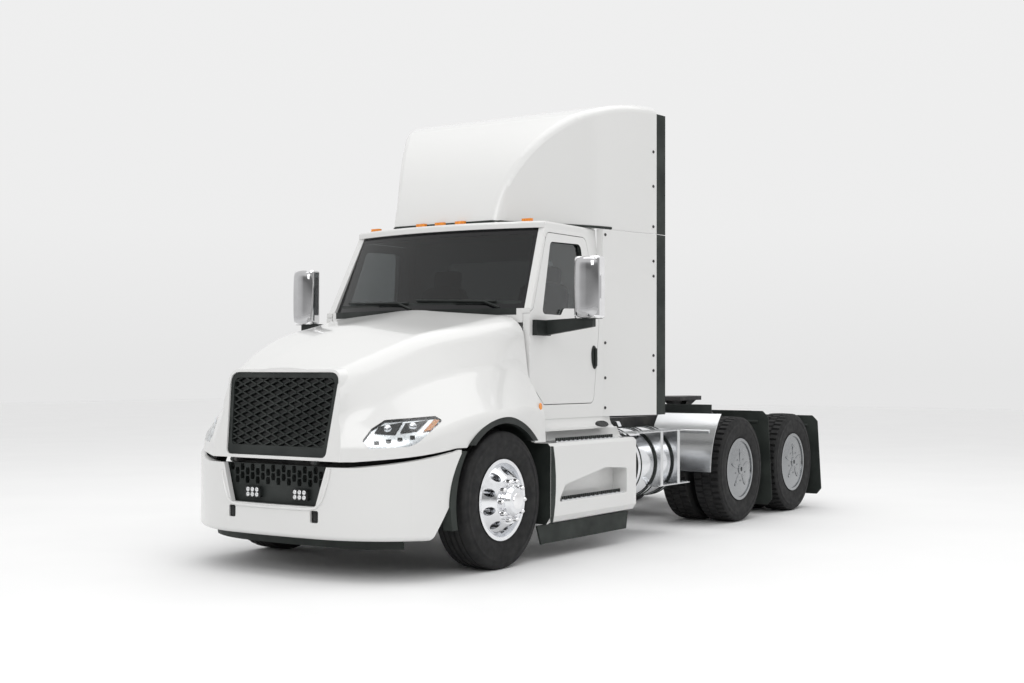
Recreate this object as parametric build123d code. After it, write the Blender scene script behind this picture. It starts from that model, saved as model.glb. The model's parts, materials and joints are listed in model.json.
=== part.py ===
from build123d import *
from math import cos, radians, sin, sqrt
import os

# Bonneted day-cab tractor unit with a roof fairing and tandem drive axles.
# Millimetres. +X forward, +Y to the left, +Z up, ground at zero, origin under the middle.

# Overall layout
FRONT_OVERHANG = 1205.0      # steer axle to bumper face
WHEELBASE = 4645.0           # steer axle to the middle of the tandem
TANDEM_SPREAD = 1320.0       # between the two drive axles
REAR_OVERHANG = 760.0        # last drive axle to the end of the frame
BODY_HALF = 1185.0           # half width over bumper, fenders and side fairings
SHEET_GAP = 6.0              # shut line between panels that move apart
SEAT_GAP = 0.3               # play between curved faces that seat on each other

# Wheels and tyres
TYRE_RADIUS = 505.0
TYRE_WIDTH = 280.0
TREAD_WIDTH = 222.0
RIM_RADIUS = 286.0           # bead seat
RIM_WIDTH = 236.0
RIM_WALL = 16.0
FLANGE_HEIGHT = 13.0
FLANGE_THICK = 8.0
STEER_TRACK = 2050.0
DRIVE_TRACK = 1850.0         # between the middles of the twin wheels
TWIN_SPACING = 343.0
HAND_HOLES = 10
HAND_HOLE_RADIUS = 31.0
HAND_HOLE_CIRCLE = 213.0
DISC_OFFSET = 168.0          # rim middle to the bolting face
DISC_THICK = 24.0
HUB_RADIUS = 92.0
HUB_CAP_RADIUS = 112.0
HUB_CAP_REACH = 68.0
SPINDLE_RADIUS = 42.0
DRUM_RADIUS = 208.0
DRUM_WALL = 16.0

# Frame
RAIL_HALF = 432.0            # half width over the rails
RAIL_HEIGHT = 270.0
RAIL_FLANGE = 90.0
RAIL_WALL = 10.0
RAIL_TOP = 1010.0
RAIL_FRONT = 950.0           # ahead of the steer axle
TOW_BEAM_THICK = 50.0
TOW_BEAM_HALF = 470.0
TOW_BEAM_LOW = 370.0
TOW_PIN_RADIUS = 25.0
TOW_PIN_HALF_SPACING = 390.0
TOW_PIN_HEIGHT = 437.0
END_BEAM_THICK = 60.0
TAIL_LAMP_THICK = 25.0

# Steering
KINGPIN_HALF = 860.0
KINGPIN_RADIUS = 25.0
STEER_ARM = 230.0            # kingpin to tie rod, straight back
TIE_ROD_RADIUS = 20.0
AXLE_EYE_HALF = 60.0
KNUCKLE_EAR = 40.0
EYE_RADIUS = 40.0

# Bumper and hood, heights from the ground
BUMPER_LOW = 280.0
BUMPER_WALL = 40.0
SEAM_FRONT = 820.0           # hood's lower edge at the grille
SEAM_REAR = 905.0            # hood's lower edge at the wheel arch
SEAM_GAP_FRONT = 40.0
SEAM_GAP_REAR = 10.0
ARCH_RADIUS = 605.0
BUMPER_ARCH_RADIUS = 668.0
FLARE_DEPTH = 46.0
LINER_THICK = 12.0
HOOD_WALL = 35.0
GRILLE_LOW_HALF = 474.0
GRILLE_TOP_HALF = 524.0
GRILLE_TOP = 1432.0
GRILLE_THICK = 28.0
FACE_LOW = 1176.0            # hood's front plane at the lower edge, ahead of the steer axle
FACE_RAKE = 0.150            # run back for each unit of height
HINGE_HEIGHT = 806.0
HINGE_PIN_RADIUS = 10.0
HINGE_LUG_RADIUS = 16.0

# Cab, heights from the ground and places behind the steer axle
CAB_HALF = 1030.0
CAB_LEAN = 72.0              # how far the sides lean in from belt to roof
CAB_WALL = 60.0
CAB_LOW = 1070.0
DOOR_LOW = 1186.0
BELT = 1880.0
ROOF_LOW = 2585.0
ROOF_TOP = 2640.0
CAB_FRONT = 540.0
CAB_REAR = 1660.0
BACK_WALL = 40.0
FLOOR_THICK = 60.0
SCREEN_LOW = 1930.0
SCREEN_LEAN = 306.0
SCREEN_RADIUS = 2890.0
SCREEN_MIDDLE = 430.0
GLASS = 8.0

# Fairings
FAIRING_TOP = 3745.0
FAIRING_REAR = 2300.0
FAIRING_REAR_HALF = 1200.0
FAIRING_WALL = 40.0
SEAL_REACH = 140.0
SIDE_FRONT = 602.0
SIDE_REAR = 1960.0
SIDE_LOW = 270.0
SIDE_STEP = 890.0
SIDE_WALL = 30.0
SKIRT_LOW = 125.0

# Tanks
TANK_RADIUS = 305.0
TANK_HALF = 825.0            # middle of the tank from the centre line
TANK_HEIGHT = 640.0
TANK_FRONT = 1970.0
TANK_REAR = 2870.0
STRAP_THICK = 8.0
STRAP_WIDTH = 60.0
STRAPS = (2110.0, 2440.0, 2760.0)

# Fifth wheel
COUPLING_AHEAD = 145.0       # ahead of the tandem's middle
COUPLING_TOP = 1190.0
COUPLING_PIVOT = 1095.0
KING_PIN_JAW = 25.6
TRUNNION_RADIUS = 28.0

# Places worked out from the layout
LENGTH = FRONT_OVERHANG + WHEELBASE + TANDEM_SPREAD / 2 + REAR_OVERHANG
X_STEER = LENGTH / 2 - FRONT_OVERHANG
X_TANDEM = X_STEER - WHEELBASE
X_DRIVE = (X_TANDEM + TANDEM_SPREAD / 2, X_TANDEM - TANDEM_SPREAD / 2)
X_END = -LENGTH / 2
RAIL_LOW = RAIL_TOP - RAIL_HEIGHT
RAIL_INNER = RAIL_HALF - RAIL_FLANGE
AXLE = TYRE_RADIUS
X_COUPLING = X_TANDEM + COUPLING_AHEAD
NODES = {}


def ahead(distance):
    """Station on the X axis, given as a distance ahead of the steer axle."""
    return X_STEER + distance


def behind(distance):
    """Station on the X axis, given as a distance behind the steer axle."""
    return X_STEER - distance


def block(x_ends, y_ends, z_ends):
    """Box between two limits on each axis."""
    middle = [sum(ends) / 2 for ends in (x_ends, y_ends, z_ends)]
    size = [abs(ends[1] - ends[0]) for ends in (x_ends, y_ends, z_ends)]
    return Pos(*middle) * Box(*size)


def outline(points, radius):
    """Closed flat shape through the points, with its corners rounded."""
    path = FilletPolyline(*points, radius=radius, close=True) if radius else Polyline(*points, close=True)
    return make_face(path)


def side_prism(points, y_ends, radius=0):
    """Shape drawn in x and z, carried across from one y to another."""
    low, high = sorted(y_ends)
    plane = Plane(origin=(0, high, 0), x_dir=(1, 0, 0), z_dir=(0, -1, 0))
    return extrude(plane * outline(points, radius), amount=high - low)


def front_prism(points, x_ends, radius=0):
    """Shape drawn in y and z, carried along from one x to another."""
    low, high = sorted(x_ends)
    plane = Plane(origin=(low, 0, 0), x_dir=(0, 1, 0), z_dir=(1, 0, 0))
    return extrude(plane * outline(points, radius), amount=high - low)


def plan_prism(points, z_ends, radius=0):
    """Shape drawn in x and y, carried up from one z to another."""
    low, high = sorted(z_ends)
    return extrude(Plane.XY.offset(low) * outline(points, radius), amount=high - low)


def rod(start, end, radius):
    """Round bar from one point to another."""
    axis = Vector(*end) - Vector(*start)
    return extrude(Plane(origin=start, z_dir=axis) * Circle(radius), amount=axis.length)


def turned(points, x, y, radius=0, z=AXLE):
    """Profile of radius and offset, turned about the cross axis at x and z."""
    plane = Plane(origin=(x, y, z), x_dir=(0, 0, 1), z_dir=(-1, 0, 0))
    return revolve(plane * outline(points, radius), axis=Axis((x, y, z), (0, 1, 0)))


def pair(shape):
    """A left piece with its right twin."""
    return [shape, mirror(shape, about=Plane.XZ)]


def node(name, *shapes):
    """Keep the solids of a node under its name."""
    solids = []
    for shape in shapes:
        solids.extend(shape.solids())
    NODES[name] = solids


# Wheels

def tyre(x, y):
    """Plain road tyre: tread, shoulders and bulged walls down to the bead."""
    half = TYRE_WIDTH / 2
    bead_half = RIM_WIDTH / 2
    wall_radius = RIM_RADIUS + 0.5 * (TYRE_RADIUS - RIM_RADIUS)
    shoulder_radius = TYRE_RADIUS - 26
    upper = [
        (RIM_RADIUS, bead_half - 18),
        (RIM_RADIUS + FLANGE_HEIGHT, bead_half - 0.5),
        (wall_radius, half),
        (shoulder_radius, half - 6),
        (TYRE_RADIUS, TREAD_WIDTH / 2),
    ]
    lower = [(radius, -offset) for radius, offset in reversed(upper)]
    rounding = [0, 4, 60, 22, 10]
    return turned(upper + lower, x, y, rounding + rounding[::-1])


def rim(x, y):
    """Barrel with a flange at each edge, just inside the bead."""
    outer = RIM_RADIUS - SEAT_GAP
    inner = outer - RIM_WALL
    half = RIM_WIDTH / 2
    lip = RIM_RADIUS + FLANGE_HEIGHT - 2
    edge = half + FLANGE_THICK
    profile = [
        (inner, -edge), (lip, -edge), (lip, -half), (outer, -half),
        (outer, half), (lip, half), (lip, edge), (inner, edge),
    ]
    return turned(profile, x, y)


def tube(x, y_ends, outer, inner, z=AXLE):
    """Ring about a cross axle, between two offsets from the centre line."""
    low, high = sorted(y_ends)
    return turned([(inner, low), (outer, low), (outer, high), (inner, high)], x, 0, z=z)


def steer_wheel(side):
    """Disc wheel with hand holes, hub, hub cap and brake drum."""
    middle = side * STEER_TRACK / 2
    barrel = RIM_RADIUS - SEAT_GAP - RIM_WALL + 2
    face = DISC_OFFSET + DISC_THICK
    disc = [
        (0, DISC_OFFSET), (150, DISC_OFFSET), (HAND_HOLE_CIRCLE + 16, 88), (barrel, 62),
        (barrel, 92), (HAND_HOLE_CIRCLE + 34, 112), (172, face), (HUB_CAP_RADIUS, face),
        (HUB_CAP_RADIUS, face + 30), (HUB_CAP_RADIUS - 20, face + HUB_CAP_REACH - 8),
        (HUB_CAP_RADIUS - 56, face + HUB_CAP_REACH), (0, face + HUB_CAP_REACH),
    ]
    profile = [(radius, side * offset) for radius, offset in disc]
    wheel = rim(X_STEER, middle) + turned(profile, X_STEER, middle)
    step = 360 / HAND_HOLES
    for hole in range(HAND_HOLES):
        angle = radians(step * hole)
        x = X_STEER + HAND_HOLE_CIRCLE * sin(angle)
        z = AXLE + HAND_HOLE_CIRCLE * cos(angle)
        wheel -= rod((x, middle, z), (x, middle + side * 2 * DISC_OFFSET, z), HAND_HOLE_RADIUS)
    hub_in = middle - side * 70
    hub_out = middle + side * DISC_OFFSET
    wheel += tube(X_STEER, (hub_in, hub_out), HUB_RADIUS, SPINDLE_RADIUS + SEAT_GAP)
    wheel += tube(X_STEER, (middle, middle + side * 20), DRUM_RADIUS, HUB_RADIUS - 1)
    wheel += tube(X_STEER, (middle - side * 112, middle + side * 20), DRUM_RADIUS, DRUM_RADIUS - DRUM_WALL)
    return wheel


def drive_wheels(x, side):
    """Twin rims bolted back to back on one hub, with a smooth cover outside."""
    middle = side * DRIVE_TRACK / 2
    barrel = RIM_RADIUS - SEAT_GAP - RIM_WALL
    inside = TWIN_SPACING / 2 - RIM_WIDTH / 2 - FLANGE_THICK
    web = [
        (HUB_RADIUS, -DISC_THICK), (170, -DISC_THICK), (barrel + 2, -inside - 40),
        (barrel + 2, inside + 40), (170, DISC_THICK), (HUB_RADIUS, DISC_THICK),
    ]
    wheels = turned(web, x, middle)
    for offset in (-TWIN_SPACING / 2, TWIN_SPACING / 2):
        wheels += rim(x, middle + offset)
    cover_edge = TWIN_SPACING / 2 + RIM_WIDTH / 2
    cover = [
        (0, cover_edge + 2), (150, cover_edge), (barrel + 3, cover_edge - 10),
        (barrel + 3, cover_edge - 2), (150, cover_edge + 9), (0, cover_edge + 11),
    ]
    wheels += turned([(radius, side * offset) for radius, offset in cover], x, middle)
    hub_ends = (middle - side * 120, middle + side * 120)
    wheels += tube(x, hub_ends, HUB_RADIUS + 2, 1.4 * SPINDLE_RADIUS + SEAT_GAP)
    drum_in = middle - side * 190
    wheels += tube(x, (drum_in, middle - side * 40), DRUM_RADIUS, DRUM_RADIUS - DRUM_WALL)
    wheels += tube(x, (middle - side * 60, middle - side * 40), DRUM_RADIUS, HUB_RADIUS)
    return wheels


for side, word in ((1, "left"), (-1, "right")):
    node(f"steer_tyre_{word}", tyre(X_STEER, side * STEER_TRACK / 2))
    node(f"steer_wheel_{word}", steer_wheel(side))
    for number, x in enumerate(X_DRIVE, start=1):
        middle = side * DRIVE_TRACK / 2
        twins = [tyre(x, middle + offset) for offset in (-TWIN_SPACING / 2, TWIN_SPACING / 2)]
        node(f"drive_tyres_{number}_{word}", *twins)
        node(f"drive_wheels_{number}_{word}", drive_wheels(x, side))

# Frame

def frame_rail():
    """Channel section rail, open towards the middle."""
    ends = (X_END + TAIL_LAMP_THICK + END_BEAM_THICK, ahead(RAIL_FRONT))
    whole = block(ends, (RAIL_INNER, RAIL_HALF), (RAIL_LOW, RAIL_TOP))
    hollow = block(ends, (RAIL_INNER, RAIL_HALF - RAIL_WALL), (RAIL_LOW + RAIL_WALL, RAIL_TOP - RAIL_WALL))
    return whole - hollow


node("frame_rails", *pair(frame_rail()))

CROSS_STATIONS = (1500.0, 2600.0, 3300.0, 4645.0)                # behind the steer axle
CROSS_LENGTH = 120.0
CROSS_HEIGHT = 120.0
CAB_MOUNTS = (720.0, 1560.0)                                     # behind the steer axle
CAB_MOUNT_SIZE = 110.0
HINGE_ARM_WIDTH = 30.0
HINGE_ARM_HALF = 385.0


def crossmembers():
    """Ladder rungs, cab mounts, closing beam and the front tow beam with its hood hinges."""
    pieces = []
    reach = RAIL_HALF - RAIL_WALL
    middle = RAIL_TOP - RAIL_WALL - CROSS_HEIGHT / 2
    for station in CROSS_STATIONS:
        x = behind(station)
        rung = block((x - CROSS_LENGTH / 2, x + CROSS_LENGTH / 2), (-reach, reach),
                     (middle - CROSS_HEIGHT / 2, middle + CROSS_HEIGHT / 2))
        rung -= block((x - CROSS_LENGTH / 2 + RAIL_WALL, x + CROSS_LENGTH), (-reach, reach),
                      (middle - CROSS_HEIGHT / 2 + RAIL_WALL, middle + CROSS_HEIGHT / 2 - RAIL_WALL))
        pieces.append(rung)
    for station in CAB_MOUNTS:
        x = behind(station)
        mount = block((x - CAB_MOUNT_SIZE / 2, x + CAB_MOUNT_SIZE / 2), (RAIL_INNER, RAIL_HALF), (RAIL_TOP, CAB_LOW))
        pieces.extend(pair(mount))
    end = X_END + TAIL_LAMP_THICK
    pieces.append(block((end, end + END_BEAM_THICK), (-RAIL_HALF, RAIL_HALF), (RAIL_LOW, RAIL_TOP)))
    pieces.append(tow_beam())
    return pieces


def tow_beam():
    """Front beam with tow pin bores and the arms that carry the hood's hinge pins."""
    rear = ahead(RAIL_FRONT)
    front = rear + TOW_BEAM_THICK
    beam = block((rear, front), (-TOW_BEAM_HALF, TOW_BEAM_HALF), (TOW_BEAM_LOW, RAIL_TOP - 60))
    pin_x = ahead(FACE_LOW)
    for side in (1, -1):
        y = side * TOW_PIN_HALF_SPACING
        beam -= rod((rear - 1, y, TOW_PIN_HEIGHT), (front + 1, y, TOW_PIN_HEIGHT), TOW_PIN_RADIUS)
        inner = side * (HINGE_ARM_HALF - HINGE_ARM_WIDTH)
        outer = side * HINGE_ARM_HALF
        beam += block((front, pin_x), (inner, outer), (HINGE_HEIGHT - 16, HINGE_HEIGHT + 6))
        beam += rod((pin_x, inner, HINGE_HEIGHT), (pin_x, outer, HINGE_HEIGHT), 12)
        beam += rod((pin_x, inner, HINGE_HEIGHT), (pin_x, outer + side * 30, HINGE_HEIGHT), HINGE_PIN_RADIUS)
    return beam


node("crossmembers", *crossmembers())

# Axles and suspension

SPRING_HALF = 387.0
SPRING_WIDTH = 80.0
SPRING_SEAT = 505.0
SPRING_EYE = 700.0           # hangers ahead of and behind the axle
LEAF_THICK = 28.0
BEAM_LOW = 400.0
BEAM_WIDTH = 90.0
HOUSING = 65.0               # half height of the drive axle tubes
BOWL_RADIUS = 215.0
BOWL_LENGTH = 260.0
NOSE = 330.0                 # input flange ahead of the axle
NOSE_RISE = 50.0
NOSE_RADIUS = 95.0
ARM_HALF = 387.0
AIR_SPRING_RADIUS = 120.0


def steer_beam():
    """Dropped forged beam with an eye for each kingpin."""
    eye_low = AXLE - AXLE_EYE_HALF
    eye_high = AXLE + AXLE_EYE_HALF
    inside = KINGPIN_HALF - 20
    half = [
        (0, SPRING_SEAT), (560, SPRING_SEAT), (700, eye_high - 30), (inside, eye_high),
        (inside, eye_low), (720, eye_low), (600, BEAM_LOW), (0, BEAM_LOW),
    ]
    other = [(-y, z) for y, z in reversed(half)]
    ends = (X_STEER - BEAM_WIDTH / 2, X_STEER + BEAM_WIDTH / 2)
    points = half[1:-1] + other[1:-1]
    beam = front_prism(points, ends)
    web = 14.0
    for side in (1, -1):
        y = side * KINGPIN_HALF
        beam += rod((X_STEER, y, eye_low), (X_STEER, y, eye_high), EYE_RADIUS)
        beam -= rod((X_STEER, y, eye_low - 1), (X_STEER, y, eye_high + 1), KINGPIN_RADIUS + SEAT_GAP)
        for face in (1, -1):
            recess = (X_STEER + face * web, X_STEER + face * BEAM_WIDTH)
            beam -= block(recess, (side * 20, side * 330), (BEAM_LOW + 22, SPRING_SEAT - 22))
    return beam


def leaf_spring(side):
    """Arched leaf pack with its front hanger and rear shackle up to the rail."""
    rise = 120.0
    half = SPRING_WIDTH / 2
    y = side * SPRING_HALF
    low = ThreePointArc((ahead(-SPRING_EYE), SPRING_SEAT + rise), (X_STEER, SPRING_SEAT),
                        (ahead(SPRING_EYE), SPRING_SEAT + rise))
    high = ThreePointArc((ahead(SPRING_EYE), SPRING_SEAT + rise + LEAF_THICK), (X_STEER, SPRING_SEAT + 2 * LEAF_THICK),
                         (ahead(-SPRING_EYE), SPRING_SEAT + rise + LEAF_THICK))
    edges = [low, Line(low @ 1, high @ 0), high, Line(high @ 1, low @ 0)]
    plane = Plane(origin=(0, y + half, 0), x_dir=(1, 0, 0), z_dir=(0, -1, 0))
    spring = extrude(plane * make_face(edges), amount=SPRING_WIDTH)
    clamp = block((X_STEER - 75, X_STEER + 75), (y - half, y + half), (SPRING_SEAT, SPRING_SEAT + 85))
    pieces = spring + clamp
    for place in (-SPRING_EYE, SPRING_EYE):
        x = ahead(place)
        hanger = [(x - 60, RAIL_LOW), (x + 60, RAIL_LOW), (x + 35, SPRING_SEAT + rise - 20),
                  (x - 35, SPRING_SEAT + rise - 20)]
        pieces += side_prism(hanger, (y - half, y + half))
    return pieces


def drive_axle(x):
    """Banjo housing, tubes and spindles of one drive axle."""
    tube_end = DRIVE_TRACK / 2 - 200
    spindle_end = DRIVE_TRACK / 2 + 100
    axle = block((x - HOUSING, x + HOUSING), (-tube_end, tube_end), (AXLE - HOUSING, AXLE + HOUSING))
    axle = fillet(axle.edges().filter_by(Axis.Y), 20)
    axle += rod((x, -spindle_end, AXLE), (x, spindle_end, AXLE), 1.4 * SPINDLE_RADIUS)
    bowl = Pos(x, 0, AXLE) * Rot(0, 90, 0) * Cylinder(BOWL_RADIUS, BOWL_LENGTH)
    axle += chamfer(bowl.edges().filter_by(GeomType.CIRCLE), 55)
    axle += rod((x, 0, AXLE + NOSE_RISE), (x + NOSE, 0, AXLE + NOSE_RISE), NOSE_RADIUS)
    return axle


def trailing_arm(x, side):
    """Arm under the axle from its hanger ahead to the air spring behind, both up to the rail."""
    y = side * ARM_HALF
    half = 45.0
    seat = AXLE - HOUSING
    arm_points = [
        (x + 470, seat + 90), (x + 380, seat + 90), (x + 150, seat), (x - 480, seat - 40),
        (x - 480, seat - 80), (x - 100, seat - 60), (x + 120, seat - 55), (x + 400, seat + 25), (x + 470, seat + 25),
    ]
    arm = side_prism(arm_points, (y - half, y + half), 12)
    pad = block((x - 90, x + 90), (y - half, y + half), (seat - 50, seat))
    hanger_points = [(x + 330, RAIL_LOW), (x + 520, RAIL_LOW), (x + 470, seat + 40), (x + 380, seat + 40)]
    hanger = side_prism(hanger_points, (y - half, y + half))
    spring_x = x - 380
    bag = [(0, seat - 50), (85, seat - 50), (95, seat + 60), (AIR_SPRING_RADIUS, seat + 90),
           (AIR_SPRING_RADIUS, RAIL_LOW - 20), (100, RAIL_LOW), (0, RAIL_LOW)]
    plane = Plane(origin=(spring_x, y, 0), x_dir=(1, 0, 0), z_dir=(0, -1, 0))
    spring = revolve(plane * outline(bag, 0), axis=Axis((spring_x, y, 0), (0, 0, 1)))
    return arm + pad + hanger + spring


node("front_axle", steer_beam())
node("drive_axles", *[drive_axle(x) for x in X_DRIVE])
suspension = [leaf_spring(side) for side in (1, -1)]
suspension += [trailing_arm(x, side) for x in X_DRIVE for side in (1, -1)]
node("suspension", *suspension)


def knuckle(side):
    """Forked knuckle round the beam's eye, with kingpin, spindle and steering arm."""
    y = side * KINGPIN_HALF
    eye_low = AXLE - AXLE_EYE_HALF
    eye_high = AXLE + AXLE_EYE_HALF
    gap = 2.0
    low = eye_low - gap - KNUCKLE_EAR
    high = eye_high + gap + KNUCKLE_EAR
    body = rod((X_STEER, y, low), (X_STEER, y, eye_low - gap), EYE_RADIUS)
    body += rod((X_STEER, y, eye_high + gap), (X_STEER, y, high), EYE_RADIUS)
    body += rod((X_STEER, y, low), (X_STEER, y, high), KINGPIN_RADIUS)
    web_in = y + side * (EYE_RADIUS + 10)
    web_out = web_in + side * 35
    body += block((X_STEER - 45, X_STEER + 45), (web_in, web_out), (low, high))
    for z_ends in ((low, eye_low - gap), (eye_high + gap, high)):
        body += block((X_STEER - 38, X_STEER + 38), (y, web_out), z_ends)
    body += rod((X_STEER, web_out, AXLE), (X_STEER, side * (STEER_TRACK / 2 + 60), AXLE), SPINDLE_RADIUS)
    arm_low = low + 20
    body += block((ahead(-STEER_ARM), X_STEER), (y - 18, y + 18), (arm_low, low + KNUCKLE_EAR))
    arm_end = ahead(-STEER_ARM)
    body += rod((arm_end, y, arm_low), (arm_end, y, low + KNUCKLE_EAR), 26)
    return body


def tie_rod():
    """Cross rod behind the axle, with an upright end under each steering arm."""
    x = ahead(-STEER_ARM)
    arm_low = AXLE - AXLE_EYE_HALF - 2.0 - KNUCKLE_EAR + 20
    z = arm_low - 35
    bar = rod((x, -KINGPIN_HALF, z), (x, KINGPIN_HALF, z), TIE_ROD_RADIUS)
    for side in (1, -1):
        y = side * KINGPIN_HALF
        bar += rod((x, y, z - 25), (x, y, arm_low - SEAT_GAP), 26)
    return bar


for side, word in ((1, "left"), (-1, "right")):
    node(f"knuckle_{word}", knuckle(side))
node("tie_rod", tie_rod())

# Engine and driveline

ENGINE_ENDS = (-560.0, 620.0)        # ahead of the steer axle
ENGINE_HALF = 320.0
ENGINE_LOW = 590.0
ENGINE_TOP = 1430.0
GEARBOX_RADIUS = 230.0
GEARBOX_REAR = 1330.0
SHAFT_RADIUS = 62.0
YOKE = 50.0


def engine():
    """Plain block of the engine's size and place."""
    whole = block((ahead(ENGINE_ENDS[0]), ahead(ENGINE_ENDS[1])), (-ENGINE_HALF, ENGINE_HALF), (ENGINE_LOW, ENGINE_TOP))
    return chamfer(whole.edges().filter_by(Axis.X), 60)


def driveline():
    """Gearbox behind the engine and the shafts to both drive axles."""
    z = 760.0
    start = ahead(ENGINE_ENDS[0])
    box = rod((start, 0, z), (start - 260, 0, z), GEARBOX_RADIUS)
    box += rod((start - 260, 0, z), (behind(GEARBOX_REAR), 0, z), 0.8 * GEARBOX_RADIUS)
    input_height = AXLE + NOSE_RISE
    nose = X_DRIVE[0] + NOSE
    box += rod((behind(GEARBOX_REAR), 0, z), (nose + YOKE, 0, input_height), SHAFT_RADIUS)
    box += rod((nose, 0, input_height), (nose + 2 * YOKE, 0, input_height), SHAFT_RADIUS)
    back = rod((X_DRIVE[0] - BOWL_LENGTH / 2, 0, input_height), (X_DRIVE[1] + NOSE, 0, input_height), SHAFT_RADIUS)
    return [box, back]


RADIATOR_ENDS = (800.0, 890.0)
RADIATOR_HEIGHTS = (640.0, 1390.0)
RADIATOR_HALF = RAIL_INNER
node("engine", engine())
node("driveline", *driveline())
radiator_depth = (ahead(RADIATOR_ENDS[0]), ahead(RADIATOR_ENDS[1]))
radiator = block(radiator_depth, (-RADIATOR_HALF, RADIATOR_HALF), RADIATOR_HEIGHTS)
node("radiator", radiator)


# Bumper

BUMPER_FLAT = 400.0          # half width of the nearly straight front
BUMPER_BOW = 15.0
BUMPER_CORNER = (900.0, 1015.0)
BUMPER_TAIL = 560.0
MOUTH_TOP_HALF = 500.0       # lower grille opening
MOUTH_LOW_HALF = 400.0
MOUTH_LOW = 505.0
TOW_HOLE = (70.0, 84.0)
BUMPER_EDGE = 36.0


def bumper_plan(inset):
    """Bowed front, swept corners and tails, moved in by an inset."""
    flat = BUMPER_FLAT
    nose = ahead(FRONT_OVERHANG - inset)
    front = ThreePointArc((nose - BUMPER_BOW, -flat), (nose, 0), (nose - BUMPER_BOW, flat))
    corner = (ahead(BUMPER_CORNER[0]) - 0.7 * inset, BUMPER_CORNER[1] - 0.7 * inset)
    left_corner = TangentArc(front @ 1, corner, tangent=front % 1)
    tail = (ahead(BUMPER_TAIL), BODY_HALF - inset)
    left_tail = TangentArc(left_corner @ 1, tail, tangent=left_corner % 1)
    left = [left_corner, left_tail]
    right = [mirror(edge, about=Plane.XZ) for edge in left]
    back = Line(tail, (tail[0], -tail[1]))
    return make_face([front] + left + right + [back])


def seam_cutter(drop_front, drop_rear, top):
    """Volume above the sloping seam between bumper and hood."""
    points = [
        (ahead(FRONT_OVERHANG + 60), SEAM_FRONT - drop_front), (ahead(FACE_LOW - 60), SEAM_FRONT - drop_front),
        (ahead(BUMPER_TAIL), SEAM_REAR - drop_rear), (ahead(BUMPER_TAIL - 100), SEAM_REAR - drop_rear),
        (ahead(BUMPER_TAIL - 100), top), (ahead(FRONT_OVERHANG + 60), top),
    ]
    return side_prism(points, (-2 * BODY_HALF, 2 * BODY_HALF))


def mouth(margin):
    """Opening of the lower grille, widened by a margin."""
    points = [
        (-MOUTH_LOW_HALF - margin, MOUTH_LOW - margin), (MOUTH_LOW_HALF + margin, MOUTH_LOW - margin),
        (MOUTH_TOP_HALF + margin, SEAM_FRONT), (-MOUTH_TOP_HALF - margin, SEAM_FRONT),
    ]
    return front_prism(points, (ahead(FACE_LOW - 300), ahead(FRONT_OVERHANG + 50)))


def bumper():
    """Hollow shell with tow holes, lower grille opening and arch ends, on two brackets."""
    height = SEAM_REAR - BUMPER_LOW
    shell = extrude(Plane.XY.offset(BUMPER_LOW) * bumper_plan(0), amount=height)
    lower = shell.faces().sort_by(Axis.Z)[0].edges().filter_by(GeomType.CIRCLE)
    shell = fillet(lower, BUMPER_EDGE)
    inside = extrude(Plane.XY.offset(BUMPER_LOW - 1) * bumper_plan(BUMPER_WALL), amount=height + 2)
    tail = ahead(BUMPER_TAIL)
    inside += block((tail - 50, tail + 60), (-BODY_HALF + BUMPER_WALL, BODY_HALF - BUMPER_WALL),
                    (BUMPER_LOW - 1, SEAM_REAR + 1))
    shell -= inside
    shell -= seam_cutter(SEAM_GAP_FRONT, SEAM_GAP_REAR, 2 * SEAM_REAR)
    shell -= mouth(0)
    arch_low = [
        (ahead(0), AXLE), (ahead(BUMPER_ARCH_RADIUS), AXLE), (ahead(BUMPER_ARCH_RADIUS + 130), BUMPER_LOW - 20),
        (ahead(0), BUMPER_LOW - 20),
    ]
    shell -= side_prism(arch_low, (-2 * BODY_HALF, 2 * BODY_HALF))
    shell -= rod((X_STEER, -2 * BODY_HALF, AXLE), (X_STEER, 2 * BODY_HALF, AXLE), BUMPER_ARCH_RADIUS)
    front = ahead(RAIL_FRONT) + TOW_BEAM_THICK
    for side in (1, -1):
        y = side * TOW_PIN_HALF_SPACING
        hole = block((front, ahead(FRONT_OVERHANG + 50)), (y - TOW_HOLE[0] / 2, y + TOW_HOLE[0] / 2),
                     (TOW_PIN_HEIGHT - TOW_HOLE[1] / 2, TOW_PIN_HEIGHT + TOW_HOLE[1] / 2))
        shell -= fillet(hole.edges().filter_by(Axis.X), 14)
        bracket_y = side * (TOW_PIN_HALF_SPACING - 110)
        shell += block((front, ahead(FRONT_OVERHANG - BUMPER_WALL)), (bracket_y - 25, bracket_y + 25),
                       (TOW_BEAM_LOW + 10, MOUTH_LOW - 20))
    return shell


LATTICE_BAR = 9.0
FOG_LAMP = (225.0, 577.0)    # from the centre line, from the ground
FOG_SIZE = (150.0, 80.0)
FOG_REACH = 25.0
MOUTH_SETBACK = 34.7
MOUTH_LAP = 30.0
MOUTH_FIELD = ((100.0, 30.0), (660.0, 760.0))          # cell, heights of the lowest and highest rows


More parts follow.
